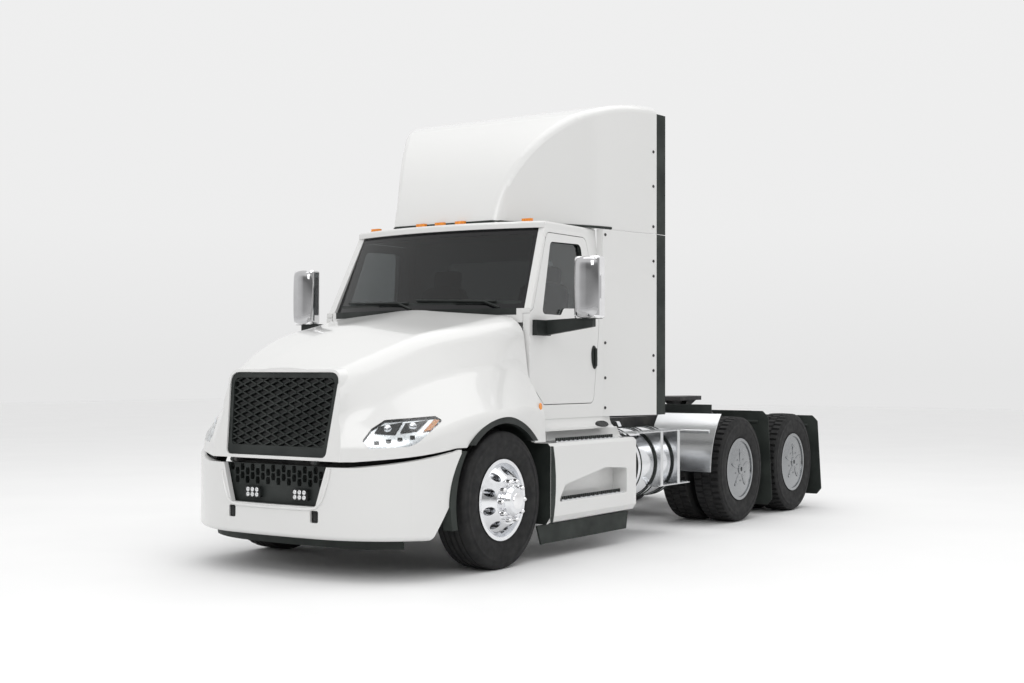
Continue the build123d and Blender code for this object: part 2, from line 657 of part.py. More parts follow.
def lattice_holes(field, low_corner, top_corner, x_ends):
    """Staggered field of stretched six-sided holes along x, inside slanted sides given by two corners."""
    (wide, high), (lowest, highest) = field
    tip = 0.3 * wide - LATTICE_BAR
    flat = 0.2 * wide - 0.5 * LATTICE_BAR
    half = high - 0.5 * LATTICE_BAR
    slant = (top_corner[0] - low_corner[0]) / (top_corner[1] - low_corner[1])
    holes = []
    for row in range(int((highest - lowest) / high) + 1):
        z = lowest + row * high
        room = low_corner[0] + slant * (z - low_corner[1]) - tip - 2 * LATTICE_BAR
        shift = 0.5 * (row % 2)
        count = int(room / wide + shift)
        for column in range(-count, count + 1 + row % 2):
            y = (column - shift) * wide
            if abs(y) > room:
                continue
            points = [(y - tip, z), (y - flat, z + half), (y + flat, z + half),
                      (y + tip, z), (y + flat, z - half), (y - flat, z - half)]
            holes.append(front_prism(points, x_ends))
    return holes


def bumper_grille():
    """Lower grille panel behind the bumper's opening, with a fog lamp box at each side."""
    front = ahead(FRONT_OVERHANG - BUMPER_WALL - MOUTH_SETBACK)
    back = front - GRILLE_THICK
    top = SEAM_FRONT - SEAM_GAP_FRONT
    points = [
        (-MOUTH_LOW_HALF - MOUTH_LAP, MOUTH_LOW - MOUTH_LAP / 2), (MOUTH_LOW_HALF + MOUTH_LAP, MOUTH_LOW - MOUTH_LAP / 2),
        (MOUTH_TOP_HALF + MOUTH_LAP, top), (-MOUTH_TOP_HALF - MOUTH_LAP, top),
    ]
    panel = front_prism(points, (back, front))
    panel -= lattice_holes(MOUTH_FIELD, (MOUTH_LOW_HALF, MOUTH_LOW), (MOUTH_TOP_HALF, top), (back - 1, front + 1))
    for side in (1, -1):
        y = side * FOG_LAMP[0]
        lamp = block((front, front + FOG_REACH), (y - FOG_SIZE[0] / 2, y + FOG_SIZE[0] / 2),
                     (FOG_LAMP[1] - FOG_SIZE[1] / 2, FOG_LAMP[1] + FOG_SIZE[1] / 2))
        panel += fillet(lamp.edges().filter_by(Axis.X), 20)
    return panel


node("bumper", bumper())
node("bumper_grille", bumper_grille())

# Hood

# Columns: ahead of the axle; inset from the body's half width of the low edge, side bend,
# waist and shoulder; height above the front seam of side bend, waist, shoulder and crown.
HOOD_SECTIONS = (
    (1200.0, 600.0, 612.0, 640.0, 675.0, 90.0, 240.0, 490.0, 550.0),
    (1050.0, 385.0, 415.0, 565.0, 635.0, 110.0, 310.0, 600.0, 690.0),
    (900.0, 185.0, 215.0, 445.0, 585.0, 140.0, 380.0, 680.0, 765.0),
    (650.0, 55.0, 75.0, 345.0, 505.0, 210.0, 510.0, 790.0, 865.0),
    (250.0, 2.0, 10.0, 265.0, 405.0, 300.0, 610.0, 910.0, 985.0),
    (-150.0, 0.0, 5.0, 205.0, 305.0, 330.0, 650.0, 980.0, 1065.0),
    (-540.0, 0.0, 15.0, 150.0, 215.0, 300.0, 580.0, 1040.0, 1135.0),
)
HOOD_BENDS = (110.0, 260.0, 190.0, 1900.0)
HOOD_SKIRT = 40.0            # how far the sections run below the front seam


def hood_section(row, inset):
    """Closed half-symmetric section of the hood, moved in by an inset."""
    place, low_in, side_in, waist_in, shoulder_in, side_up, waist_up, shoulder_up, crown_up = row
    base = SEAM_FRONT - HOOD_SKIRT
    left = [
        (BODY_HALF - low_in - inset, base),
        (BODY_HALF - side_in - inset, SEAM_FRONT + side_up - 0.4 * inset),
        (BODY_HALF - waist_in - inset, SEAM_FRONT + waist_up - 0.6 * inset),
        (BODY_HALF - shoulder_in - inset, SEAM_FRONT + shoulder_up - inset),
        (0, SEAM_FRONT + crown_up - inset),
    ]
    right = [(-y, z) for y, z in reversed(left[:-1])]
    side_bend, waist_bend, shoulder_bend, crown_bend = HOOD_BENDS
    bends = [0, side_bend, waist_bend, shoulder_bend, crown_bend, shoulder_bend, waist_bend, side_bend, 0]
    plane = Plane(origin=(ahead(place), 0, 0), x_dir=(0, 1, 0), z_dir=(1, 0, 0))
    return plane * outline(left + right, bends)


def face_plane_cutter(setback):
    """Volume ahead of the hood's raked front plane, moved back by a distance."""
    low = ahead(FACE_LOW) - setback
    drop = 200.0
    rise = 1000.0
    points = [
        (low + FACE_RAKE * drop, SEAM_FRONT - drop), (low - FACE_RAKE * rise, SEAM_FRONT + rise),
        (low + 600, SEAM_FRONT + rise), (low + 600, SEAM_FRONT - drop),
    ]
    return side_prism(points, (-2 * BODY_HALF, 2 * BODY_HALF))


HOOD_REAR_RADIUS = 3800.0        # bow of the hood's rear edge, seen from above
HOOD_REAR_MIDDLE = 395.0
HOOD_REAR_HALF = 980.0
HOOD_REAR_LOW = 1300.0
FENDER_TAIL = ((525.0, 1363.0), (585.0, 1186.0), (640.0, 915.0), (640.0, 600.0))     # behind the axle, height
FAR_BEHIND = 1500.0
FAR_UP = 2500.0
FAR_OUT = 2000.0


def hood_rear_cutter():
    """Volumes behind the hood's bowed rear edge and slanted fender tails."""
    disc = Pos(behind(HOOD_REAR_MIDDLE) - HOOD_REAR_RADIUS, 0, FAR_BEHIND) * Cylinder(HOOD_REAR_RADIUS, FAR_UP)
    band = block((behind(FAR_BEHIND), X_STEER), (-HOOD_REAR_HALF, HOOD_REAR_HALF), (HOOD_REAR_LOW, FAR_UP))
    edge = ((FENDER_TAIL[0][0], FAR_UP), *FENDER_TAIL, (FAR_BEHIND, FENDER_TAIL[-1][1]), (FAR_BEHIND, FAR_UP))
    tail = [(behind(place), height) for place, height in edge]
    return [disc & band, side_prism(tail, (-FAR_OUT, FAR_OUT))]


def hood_form(inset):
    """Loft through the hood's sections."""
    return loft([hood_section(row, inset) for row in HOOD_SECTIONS])


GRILLE_CORNER = 40.0
GRILLE_SILL = 22.0           # opening's lower edge above the front seam
GRILLE_ROOM = 300.0          # depth cut clear behind the face


def grille_points(margin):
    """Corners of the grille opening, widened by a margin."""
    low = SEAM_FRONT + GRILLE_SILL - margin
    top = GRILLE_TOP + margin
    return [
        (-GRILLE_LOW_HALF - margin, low), (GRILLE_LOW_HALF + margin, low),
        (GRILLE_TOP_HALF + margin, top), (-GRILLE_TOP_HALF - margin, top),
    ]


LAMP_POINTS = (                  # across its own line of sight, height
    (-228.0, 964.0), (-185.0, 911.0), (85.0, 925.0), (150.0, 953.0), (336.0, 1100.0), (283.0, 1130.0),
    (-70.0, 1105.0), (-165.0, 1045.0),
)
LAMP_CORNER = 12.0
LAMP_DEPTH = 300.0
LAMP_TURN = 45.0
LAMP_CENTRE = (930.0, 900.0)     # ahead of the axle, from the centre line


def lamp_prism(margin):
    """Headlamp outline of the left side, run through the fender along its own line of sight."""
    turn = radians(LAMP_TURN)
    x_dir = (-sin(turn), cos(turn), 0)
    z_dir = (cos(turn), sin(turn), 0)
    start = (ahead(LAMP_CENTRE[0]) - LAMP_DEPTH * cos(turn), LAMP_CENTRE[1] - LAMP_DEPTH * sin(turn), 0)
    plane = Plane(origin=start, x_dir=x_dir, z_dir=z_dir)
    shape = outline(LAMP_POINTS, LAMP_CORNER)
    shape = offset(shape, margin) if margin else shape
    return extrude(plane * shape, amount=2 * LAMP_DEPTH)


def hood_parts():
    """Hood shell, its grille and its headlamps, cut from one form."""
    outer = hood_form(0)
    inner = hood_form(HOOD_WALL)
    bottom = seam_cutter(0, 0, 2 * ENGINE_TOP)
    rear_low = block((behind(FAR_BEHIND), ahead(BUMPER_TAIL - 100)), (-FAR_OUT, FAR_OUT), (SEAM_REAR, FAR_UP))
    room = bottom + rear_low
    outer = outer & room
    outer -= face_plane_cutter(0)
    for cutter in hood_rear_cutter():
        outer -= cutter
    cavity = inner - face_plane_cutter(HOOD_WALL + 10)
    shell = outer - cavity
    shell -= rod((X_STEER, -2 * BODY_HALF, AXLE), (X_STEER, 2 * BODY_HALF, AXLE), ARCH_RADIUS)
    shell -= front_prism(grille_points(0), (ahead(FACE_LOW - GRILLE_ROOM), ahead(FRONT_OVERHANG + 100)), GRILLE_CORNER)
    pin_x = ahead(FACE_LOW)
    for side in (1, -1):
        lug_y = (side * (HINGE_ARM_HALF + 2), side * (HINGE_ARM_HALF + 28))
        lug = rod((pin_x, lug_y[0], HINGE_HEIGHT), (pin_x, lug_y[1], HINGE_HEIGHT), HINGE_LUG_RADIUS)
        lug += block((pin_x - HINGE_LUG_RADIUS, pin_x), lug_y, (HINGE_HEIGHT, SEAM_FRONT + 6))
        lug -= rod((pin_x, 0, HINGE_HEIGHT), (pin_x, side * BODY_HALF, HINGE_HEIGHT), HINGE_PIN_RADIUS + SEAT_GAP)
        shell += lug
    lamps = []
    for lamp, pocket in zip(pair(lamp_prism(0)), pair(lamp_prism(SEAT_GAP))):
        lens = lamp & shell
        lamps.extend(lens.solids())
        shell -= pocket
    return shell, lamps


hood, lamps = hood_parts()
node("hood", hood)
node("headlamps", *lamps)


GRILLE_SETBACK = 10.0
GRILLE_PLAY = 1.0
GRILLE_FIELD = ((122.0, 31.0), (898.0, 1390.0))


def grille():
    """Lattice panel standing in the hood's opening, raked with the hood's front."""
    points = grille_points(-GRILLE_PLAY)
    panel = front_prism(points, (ahead(FACE_LOW - GRILLE_ROOM), ahead(FRONT_OVERHANG)), GRILLE_CORNER - GRILLE_PLAY)
    panel -= face_plane_cutter(GRILLE_SETBACK)
    panel = panel & face_plane_cutter(GRILLE_SETBACK + GRILLE_THICK)
    low, top = (GRILLE_LOW_HALF, SEAM_FRONT), (GRILLE_TOP_HALF, GRILLE_TOP)
    return panel - lattice_holes(GRILLE_FIELD, low, top, (ahead(FACE_LOW - GRILLE_ROOM), ahead(FRONT_OVERHANG)))


def arch_ring(outer, inner, y_ends):
    """Ring about the steer axle, between two offsets from the centre line."""
    low, high = y_ends
    return tube(X_STEER, (low, high), outer, inner)


LINER_INNER = 610.0
FLARE_WIDTH = 45.0


def wheel_flare():
    """Liner over the left wheel with a lip at its outer edge, inside the hood's arch."""
    outer = ARCH_RADIUS - SEAT_GAP
    edge = BODY_HALF - 8
    liner = arch_ring(outer, outer - LINER_THICK, (LINER_INNER, edge))
    liner += arch_ring(outer, outer - FLARE_DEPTH, (edge - FLARE_WIDTH, edge))
    room = block((behind(520), ahead(440)), (0, 2000), (SEAM_REAR + 15, 2000))
    return liner & room


node("grille", grille())
node("wheel_flares", *pair(wheel_flare()))

# Side fairings, skirts and steps

SIDE_INNER = RAIL_HALF
SIDE_SHELF = 975.0           # top of the fairing beside the cab
SHELF_EDGE = 1010.0
POCKET = ((720.0, 1800.0), (435.0, 640.0), 1050.0)     # behind the axle, heights, depth to
POCKET_WALL = 25.0
POCKET_TOP = 350.0           # length of the pocket's nearly level upper edge
POCKET_NOSE = (100.0, 130.0)
SIDE_TUCK = 40.0
SIDE_BEVEL = 25.0
SIDE_ROUND = 10.0
TREAD_THICK = 8.0
TREAD_RIBS = 14
RIB_HEIGHT = 5.0
RIB_INSET = 12.0
TANK_STEP_HEIGHTS = (440.0, 915.0)
TANK_STEP_IN = 1000.0
STEP_BAR_WIDTH = 50.0


def side_fairing():
    """Hollow fairing below the left door, with a step along its top and one in a pocket."""
    front = behind(SIDE_FRONT)
    rear = behind(SIDE_REAR)
    section = [
        (SIDE_INNER, SIDE_LOW), (BODY_HALF - SIDE_TUCK, SIDE_LOW), (BODY_HALF, SIDE_LOW + 1.5 * SIDE_TUCK),
        (BODY_HALF, SIDE_STEP - SIDE_BEVEL), (BODY_HALF - SIDE_BEVEL, SIDE_STEP), (SHELF_EDGE + SIDE_BEVEL, SIDE_STEP),
        (SHELF_EDGE - SIDE_BEVEL / 2, SIDE_SHELF), (SIDE_INNER, SIDE_SHELF),
    ]
    whole = front_prism(section, (rear, front), SIDE_ROUND)
    under = SIDE_LOW - SIDE_WALL
    inside = SIDE_INNER - SIDE_WALL
    step_under = SIDE_STEP - SIDE_WALL
    shelf_under = SIDE_SHELF - SIDE_WALL
    inner = [
        (inside, under), (BODY_HALF - SIDE_WALL, under), (BODY_HALF - SIDE_WALL, step_under), (SHELF_EDGE, step_under),
        (SHELF_EDGE - SIDE_BEVEL, shelf_under), (inside, shelf_under),
    ]
    shell = whole - front_prism(inner, (rear - SIDE_WALL, front - SIDE_WALL))
    (pocket_front, pocket_rear), (low, high), depth = POCKET
    lining_x = (behind(pocket_rear + POCKET_WALL), behind(pocket_front - POCKET_WALL))
    lining_z = (low - POCKET_WALL, high + 1.6 * POCKET_WALL)
    shell += block(lining_x, (depth - POCKET_WALL, BODY_HALF - 1), lining_z)
    mouth_points = [
        (behind(pocket_front), low), (behind(pocket_rear), low), (behind(pocket_rear), high),
        (behind(pocket_rear - POCKET_TOP), high + POCKET_WALL), (behind(pocket_front + POCKET_NOSE[0]), low + POCKET_NOSE[1]),
    ]
    shell -= side_prism(mouth_points, (depth, BODY_HALF + SIDE_BEVEL), 1.8 * SIDE_ROUND)
    return shell


def lower_skirt():
    """Flexible skirt hung under the left side fairing."""
    points = [
        (behind(SIDE_FRONT - 120), SIDE_LOW), (behind(SIDE_REAR - 60), SIDE_LOW), (behind(SIDE_REAR - 90), SKIRT_LOW),
        (behind(SIDE_FRONT - 60), SKIRT_LOW),
    ]
    skirt = side_prism(points, (BODY_HALF - 60, BODY_HALF - 45))
    foot = block((behind(SIDE_REAR - 60), behind(SIDE_FRONT)), (BODY_HALF - 75, BODY_HALF - 45), (SIDE_LOW - 20, SIDE_LOW))
    return skirt + foot


def arch_strip():
    """Strip that closes the gap between the bumper's tail and the left wheel."""
    ring = arch_ring(BUMPER_ARCH_RADIUS - SEAT_GAP, ARCH_RADIUS, (BODY_HALF - 90, BODY_HALF - 12))
    top = SEAM_REAR - SEAM_GAP_REAR - 12
    return ring & block((X_STEER, ahead(BUMPER_ARCH_RADIUS)), (0, 2000), (BUMPER_LOW + 60, top))


def step_tread(x_ends, y_ends, z):
    """Tread plate with a row of rounded ribs."""
    plate = block(x_ends, y_ends, (z, z + TREAD_THICK))
    low, high = sorted(x_ends)
    pitch = (high - low) / TREAD_RIBS
    rib_y = (y_ends[0] + RIB_INSET, y_ends[1] - RIB_INSET)
    rib_z = (z + TREAD_THICK, z + TREAD_THICK + RIB_HEIGHT)
    for rib in range(TREAD_RIBS):
        x = low + (rib + 0.5) * pitch
        plate += block((x - 0.2 * pitch, x + 0.2 * pitch), rib_y, rib_z)
    return plate


def tank_steps():
    """Two treads outside the left tank, held by upright bars on its straps."""
    reach = TANK_HALF + TANK_RADIUS + STRAP_THICK
    outer = BODY_HALF - 5
    bars = None
    for station in (STRAPS[1], STRAPS[2]):
        x = behind(station)
        bar = block((x - STEP_BAR_WIDTH / 2, x + STEP_BAR_WIDTH / 2), (reach - 120, outer), TANK_STEP_HEIGHTS)
        bars = bar if bars is None else bars + bar
    tank_front = (behind(TANK_FRONT - TANK_RADIUS), TANK_HALF, TANK_HEIGHT)
    tank_rear = (behind(TANK_REAR + TANK_RADIUS), TANK_HALF, TANK_HEIGHT)
    keep_out = rod(tank_rear, tank_front, TANK_RADIUS + STRAP_THICK + SEAT_GAP)
    low_step, high_step = TANK_STEP_HEIGHTS
    bars += step_tread((behind(TANK_REAR), behind(SIDE_REAR + 20)), (TANK_STEP_IN, outer), high_step)
    bars += step_tread((behind(TANK_REAR + 110), behind(STRAPS[1] - 60)), (reach - 90, outer), low_step)
    return bars - keep_out


step_front = behind(SIDE_FRONT + 130)
step_rear = behind(SIDE_REAR - 280)
treads = pair(step_tread((step_rear, step_front), (SHELF_EDGE + 32, BODY_HALF - 30), SIDE_STEP))
(pocket_front, pocket_rear), (pocket_low, pocket_high), pocket_depth = POCKET
pocket_x = (behind(pocket_rear - 20), behind(pocket_front + 70))
treads += pair(step_tread(pocket_x, (pocket_depth + RIB_INSET, BODY_HALF - RIB_INSET), pocket_low))
treads += pair(tank_steps())
node("step_treads", *treads)
node("side_fairings", *pair(side_fairing()))

# Tanks

AIR_TANK_RADIUS = 115.0
AIR_TANK_LENGTH = 560.0
AIR_TANK_PLACE = (2300.0, 230.0)         # behind the axle, from the centre line
AIR_TANK_DROP = 12.0
TANK_ENDS = (45.0, 50.0)                 # dish radius of the fuel and air tanks
BRACKET_CORNER = 20.0
TANK_BRACKET = (                         # from the centre line, height
    (RAIL_HALF, 985.0), (560.0, 985.0), (700.0, 700.0), (700.0, 330.0), (RAIL_HALF + 60.0, 420.0), (RAIL_HALF, 700.0),
)


def fuel_tank():
    """Round tank with dished ends and three straps, on brackets out from the left rail."""
    front = behind(TANK_FRONT)
    rear = behind(TANK_REAR)
    tank = rod((rear, TANK_HALF, TANK_HEIGHT), (front, TANK_HALF, TANK_HEIGHT), TANK_RADIUS)
    tank = fillet(tank.edges().filter_by(GeomType.CIRCLE), TANK_ENDS[0])
    for station in STRAPS:
        x = behind(station)
        half = STRAP_WIDTH / 2
        tank += rod((x - half, TANK_HALF, TANK_HEIGHT), (x + half, TANK_HALF, TANK_HEIGHT), TANK_RADIUS + STRAP_THICK)
        tank += front_prism(TANK_BRACKET, (x - half, x + half), BRACKET_CORNER)
    return tank


def air_tank():
    """Compressed air tank under the left rail, on two hangers."""
    x = behind(AIR_TANK_PLACE[0])
    y = AIR_TANK_PLACE[1]
    z = RAIL_LOW - AIR_TANK_RADIUS - AIR_TANK_DROP
    half = AIR_TANK_LENGTH / 2
    tank = rod((x - half, y, z), (x + half, y, z), AIR_TANK_RADIUS)
    tank = fillet(tank.edges().filter_by(GeomType.CIRCLE), TANK_ENDS[1])
    for place in (-0.5, 0.5):
        centre = x + place * half
        tank += block((centre - 25, centre + 25), (y, RAIL_INNER + 60), (z + 60, RAIL_LOW))
    return tank


node("tanks", *pair(fuel_tank()), *pair(air_tank()))

# Fairings above and behind the cab

ROOF_BASE_FRONT = 800.0
NOSE_HALF = 520.0


# Columns: behind the axle, height, share of an inset taken from each; every other row is the middle of an arc.
ROOF_PROFILE = (
    (ROOF_BASE_FRONT, ROOF_TOP, 1.0, 0.0), (842.0, 2800.0, 1.0, 0.0),
    (905.0, 2960.0, 1.0, 0.5), (1130.0, 3310.0, 0.8, 0.6),
    (1480.0, 3590.0, 0.6, 1.0), (1860.0, 3710.0, 0.0, 1.0),
    (FAIRING_REAR, FAIRING_TOP, 0.0, 1.0),
)
ROOF_PLAN = (                # behind the axle, from the centre line, corner radius
    (ROOF_BASE_FRONT - 40.0, NOSE_HALF, 0.0), (ROOF_BASE_FRONT + 110.0, NOSE_HALF + 40.0, 60.0),
    (1600.0, 985.0, 600.0), (FAIRING_REAR, FAIRING_REAR_HALF, 0.0),
)
ROOF_CREASE = 70.0


def roof_outer(inset):
    """Raked front, domed top and flared sides of the roof fairing, moved in by an inset."""
    line = [(behind(place + back * inset), height - down * inset) for place, height, back, down in ROOF_PROFILE]
    arcs = [ThreePointArc(*line[first:first + 3]) for first in (0, 2, 4)]
    heel = (behind(FAIRING_REAR), ROOF_TOP)
    edges = arcs + [Line(line[-1], heel), Line(heel, line[0])]
    plane = Plane(origin=(0, FAR_OUT, 0), x_dir=(1, 0, 0), z_dir=(0, -1, 0))
    profile = extrude(plane * make_face(edges), amount=2 * FAR_OUT)
    plan = [(behind(place), half - inset) for place, half, corner in ROOF_PLAN]
    corners = [corner for place, half, corner in ROOF_PLAN]
    points = plan + [(x, -y) for x, y in reversed(plan)]
    walls = extrude(Plane.XY.offset(ROOF_TOP) * outline(points, corners + corners[::-1]), amount=FAIRING_TOP - ROOF_TOP + 100)
    return profile & walls


def roof_fairing():
    """Hollow fairing on the roof, open behind."""
    outer = roof_outer(0)
    creases = [edge for edge in outer.edges() if edge.center().Z > ROOF_TOP + 200 and abs(edge.center().Y) > 300
               and edge.bounding_box().size.X > 100 and edge.bounding_box().size.Z > 5]
    outer = fillet(creases, ROOF_CREASE)
    inner = roof_outer(FAIRING_WALL)
    inner = Pos(-FAIRING_WALL, 0, -FAIRING_WALL) * inner
    return outer - inner


node("roof_fairing", roof_fairing())


EXTENDER_WALL = 30.0
EXTENDER_TOP = 2640.0


def extender_plan(z_ends):
    """Left panel that runs back and out from the cab's rear corner."""
    front = behind(CAB_REAR)
    rear = behind(FAIRING_REAR)
    points = [
        (front, CAB_HALF), (rear, FAIRING_REAR_HALF), (rear, FAIRING_REAR_HALF - EXTENDER_WALL),
        (front, CAB_HALF - CAB_WALL),
    ]
    return plan_prism(points, z_ends)


def gap_seal(z_ends):
    """Flexible strip behind the left extender or fairing edge."""
    rear = behind(FAIRING_REAR)
    outer = FAIRING_REAR_HALF
    points = [(rear, outer), (rear - SEAL_REACH, outer + 12), (rear - SEAL_REACH, outer), (rear, outer - 18)]
    return plan_prism(points, z_ends)


node("side_extenders", *pair(extender_plan((CAB_LOW, EXTENDER_TOP - SHEET_GAP))))
skirts = pair(lower_skirt()) + pair(arch_strip())
skirts += pair(gap_seal((CAB_LOW, EXTENDER_TOP - SHEET_GAP))) + pair(gap_seal((EXTENDER_TOP, FAIRING_TOP - 60)))
node("rubber_skirts", *skirts)

# Cab

DOOR_OUTLINE = (
    (540.0, 1372.0), (540.0, 1895.0), (600.0, 1925.0), (893.0, 2545.0), (1492.0, 2548.0), (1600.0, 1830.0),
    (1510.0, DOOR_LOW), (748.0, DOOR_LOW),
)
DOOR_CORNERS = (20.0, 40.0, 40.0, 60.0, 60.0, 300.0, 60.0, 20.0)
WINDOW_OUTLINE = (
    (722.0, 1890.0), (935.0, 2475.0), (1400.0, 2488.0), (1440.0, 1960.0), (1050.0, 1945.0), (1000.0, 1890.0),
)
WINDOW_CORNERS = (30.0, 50.0, 50.0, 50.0, 40.0, 40.0)


def lean(height, inset=0.0):
    """Half width of the cab at a height: upright to the belt, then leaning in."""
    rise = max(0.0, height - BELT) / (ROOF_LOW - BELT)
    return CAB_HALF - CAB_LEAN * rise - inset


def side_wall(x_ends, low, high, outer=0.0, inner=CAB_WALL):
    """Bent wall of the left side between two heights, with its outer and inner inset."""
    levels = [low, BELT, high]
    points = [(lean(level, outer), level) for level in levels]
    points += [(lean(level, inner), level) for level in reversed(levels)]
    return front_prism(points, x_ends)


def door_prism(margin):
    """Door outline of the left side, widened by a margin."""
    points = [(behind(place), height) for place, height in DOOR_OUTLINE]
    shape = outline(points, DOOR_CORNERS)
    shape = offset(shape, margin) if margin else shape
    plane = Plane(origin=(0, 1500, 0), x_dir=(1, 0, 0), z_dir=(0, -1, 0))
    return extrude(plane * shape, amount=1000)


def window_prism(margin):
    """Window outline of the left door, widened by a margin."""
    points = [(behind(place), height) for place, height in WINDOW_OUTLINE]
    shape = outline(points, WINDOW_CORNERS)
    shape = offset(shape, margin) if margin else shape
    plane = Plane(origin=(0, 1500, 0), x_dir=(1, 0, 0), z_dir=(0, -1, 0))
    return extrude(plane * shape, amount=1000)


PILLAR_SETBACK = 24.0            # of the screen pillar's front edge from the cab's front corner
PILLAR_RISE = 645.0              # height over which the pillar leans as far as the screen
PILLAR_RUN = 1.2                 # how far past the roof the pillar's cut runs


def cab_side():
    """Left door surround: sill, front corner, rear post, roof rail and screen pillar."""
    x_ends = (behind(CAB_REAR - BACK_WALL), behind(CAB_FRONT))
    wall = side_wall(x_ends, CAB_LOW, ROOF_LOW)
    over = SCREEN_LOW + PILLAR_RUN * PILLAR_RISE
    foot = CAB_FRONT + PILLAR_SETBACK
    clear = behind(CAB_FRONT - PILLAR_SETBACK)
    screen = [
        (clear, SCREEN_LOW), (behind(foot), SCREEN_LOW), (behind(foot + PILLAR_RUN * SCREEN_LEAN), over), (clear, over),
    ]
    wall -= side_prism(screen, (0, FAR_OUT))
    return wall - door_prism(SHEET_GAP)


def windscreen(inset, thick):
    """Curved, leaning screen between the pillars, moved in from its edges by an inset."""
    middle = behind(SCREEN_MIDDLE) - SCREEN_RADIUS
    circle = Plane.XY.offset(SCREEN_LOW) * (Pos(middle, 0) * (Circle(SCREEN_RADIUS) - Circle(SCREEN_RADIUS - thick)))
    rise = ROOF_LOW - SCREEN_LOW
    slope = Vector(-SCREEN_LEAN, 0, rise)
    band = extrude(circle, amount=slope.length, dir=slope.normalized())
    low_half = lean(SCREEN_LOW, CAB_WALL + inset)
    high_half = lean(ROOF_LOW, CAB_WALL + inset)
    edges = [(-low_half, SCREEN_LOW), (low_half, SCREEN_LOW), (high_half, ROOF_LOW - 1), (-high_half, ROOF_LOW - 1)]
    return band & front_prism(edges, (behind(CAB_REAR), ahead(100)))


COWL_FRONT = 410.0
COWL_RADIUS = 3550.0
COWL_DEPTH = 110.0
FIREWALL = 640.0
FIREWALL_THICK = 45.0
DOOR_HINGES = (1480.0, 1760.0)
DOOR_HINGE_TALL = 90.0
REAR_WINDOW = (560.0, 1960.0, 2400.0)    # half width, lower edge, upper edge
REAR_WINDOW_CORNER = 60.0
REAR_GLASS_SETBACK = 16.0
ROOF_BROW = 25.0                         # the roof's reach ahead of the screen's top
ROOF_EDGE = 22.0


def bowed_panel(front, half, rear, radius, low, thick):
    """Level panel with a front edge bowed to a radius."""
    bow = radius - sqrt(radius ** 2 - half ** 2)
    corner = (front - bow, half)
    other = (front - bow, -half)
    arc = ThreePointArc(other, (front, 0), corner)
    edges = [arc, Line(corner, (rear, half)), Line((rear, half), (rear, -half)), Line((rear, -half), other)]
    return extrude(Plane.XY.offset(low) * make_face(edges), amount=thick)


def cowl():
    """Firewall with the bowed scuttle that carries the foot of the screen."""
    half = lean(SCREEN_LOW, CAB_WALL + SEAT_GAP)
    rear = behind(FIREWALL)
    scuttle = bowed_panel(behind(COWL_FRONT), half, rear, COWL_RADIUS, SCREEN_LOW - COWL_DEPTH, COWL_DEPTH)
    scuttle += block((rear, rear + FIREWALL_THICK), (-half, half), (CAB_LOW, SCREEN_LOW))
    leaf_x = (behind(CAB_FRONT + 90), behind(CAB_FRONT + 20))
    for side in (1, -1):
        leaf_y = (side * half, side * (CAB_HALF - CAB_WALL - SEAT_GAP))
        for height in DOOR_HINGES:
            scuttle += block(leaf_x, leaf_y, (height - DOOR_HINGE_TALL / 2, height + DOOR_HINGE_TALL / 2))
    return scuttle


def cab_back():
    """Rear wall with its window."""
    levels = [CAB_LOW, BELT, ROOF_LOW]
    points = [(lean(level), level) for level in levels] + [(-lean(level), level) for level in reversed(levels)]
    wall = front_prism(points, (behind(CAB_REAR), behind(CAB_REAR - BACK_WALL)))
    return wall - rear_window(0)


def rear_window(inset):
    """Rear window's opening, moved in by an inset, through the wall."""
    half, low, high = REAR_WINDOW
    half -= inset
    points = [(-half, low + inset), (half, low + inset), (half, high - inset), (-half, high - inset)]
    through = (behind(CAB_REAR + GLASS), behind(CAB_REAR - BACK_WALL - GLASS))
    return front_prism(points, through, REAR_WINDOW_CORNER - inset)


def cab_roof():
    """Roof panel with a bowed brow over the screen."""
    front = behind(SCREEN_MIDDLE + SCREEN_LEAN - ROOF_BROW)
    panel = bowed_panel(front, lean(ROOF_LOW), behind(CAB_REAR), SCREEN_RADIUS, ROOF_LOW, ROOF_TOP - ROOF_LOW)
    upper = panel.faces().sort_by(Axis.Z)[-1].edges().sort_by(Axis.X)[1:]
    return fillet(upper, ROOF_EDGE)


def cab_floor():
    """Floor between the side walls, from firewall to rear wall."""
    half = CAB_HALF - CAB_WALL - 2
    return block((behind(CAB_REAR - BACK_WALL), behind(FIREWALL)), (-half, half), (CAB_LOW, CAB_LOW + FLOOR_THICK))


SEAT_Y = 520.0
SEAT_FRONT = 1000.0


# Columns: behind the seat's front edge from and to, half width, height above the floor from and to.
SEAT_BASE = (60.0, 430.0, 170.0, 0.0, 300.0)
SEAT_CUSHION = (0.0, 500.0, 250.0, 300.0, 440.0)
SEAT_CUSHION_ROUND = 40.0
SEAT_BACK = ((400.0, 440.0), (520.0, 440.0), (610.0, 1130.0), (510.0, 1130.0))   # behind the front edge, height
SEAT_BACK_HALF = 240.0
SEAT_BACK_ROUND = 30.0


def seat_block(row, y):
    """Box of a seat from its row of sizes."""
    near, far, half, low, high = row
    floor = CAB_LOW + FLOOR_THICK
    return block((behind(SEAT_FRONT + far), behind(SEAT_FRONT + near)), (y - half, y + half), (floor + low, floor + high))


def seat(side):
    """Driver's or passenger's seat on its pedestal."""
    y = side * SEAT_Y
    floor = CAB_LOW + FLOOR_THICK
    cushion = seat_block(SEAT_CUSHION, y)
    back_points = [(behind(SEAT_FRONT + place), floor + height) for place, height in SEAT_BACK]
    back = side_prism(back_points, (y - SEAT_BACK_HALF, y + SEAT_BACK_HALF), SEAT_BACK_ROUND)
    return seat_block(SEAT_BASE, y) + fillet(cushion.edges(), SEAT_CUSHION_ROUND) + back


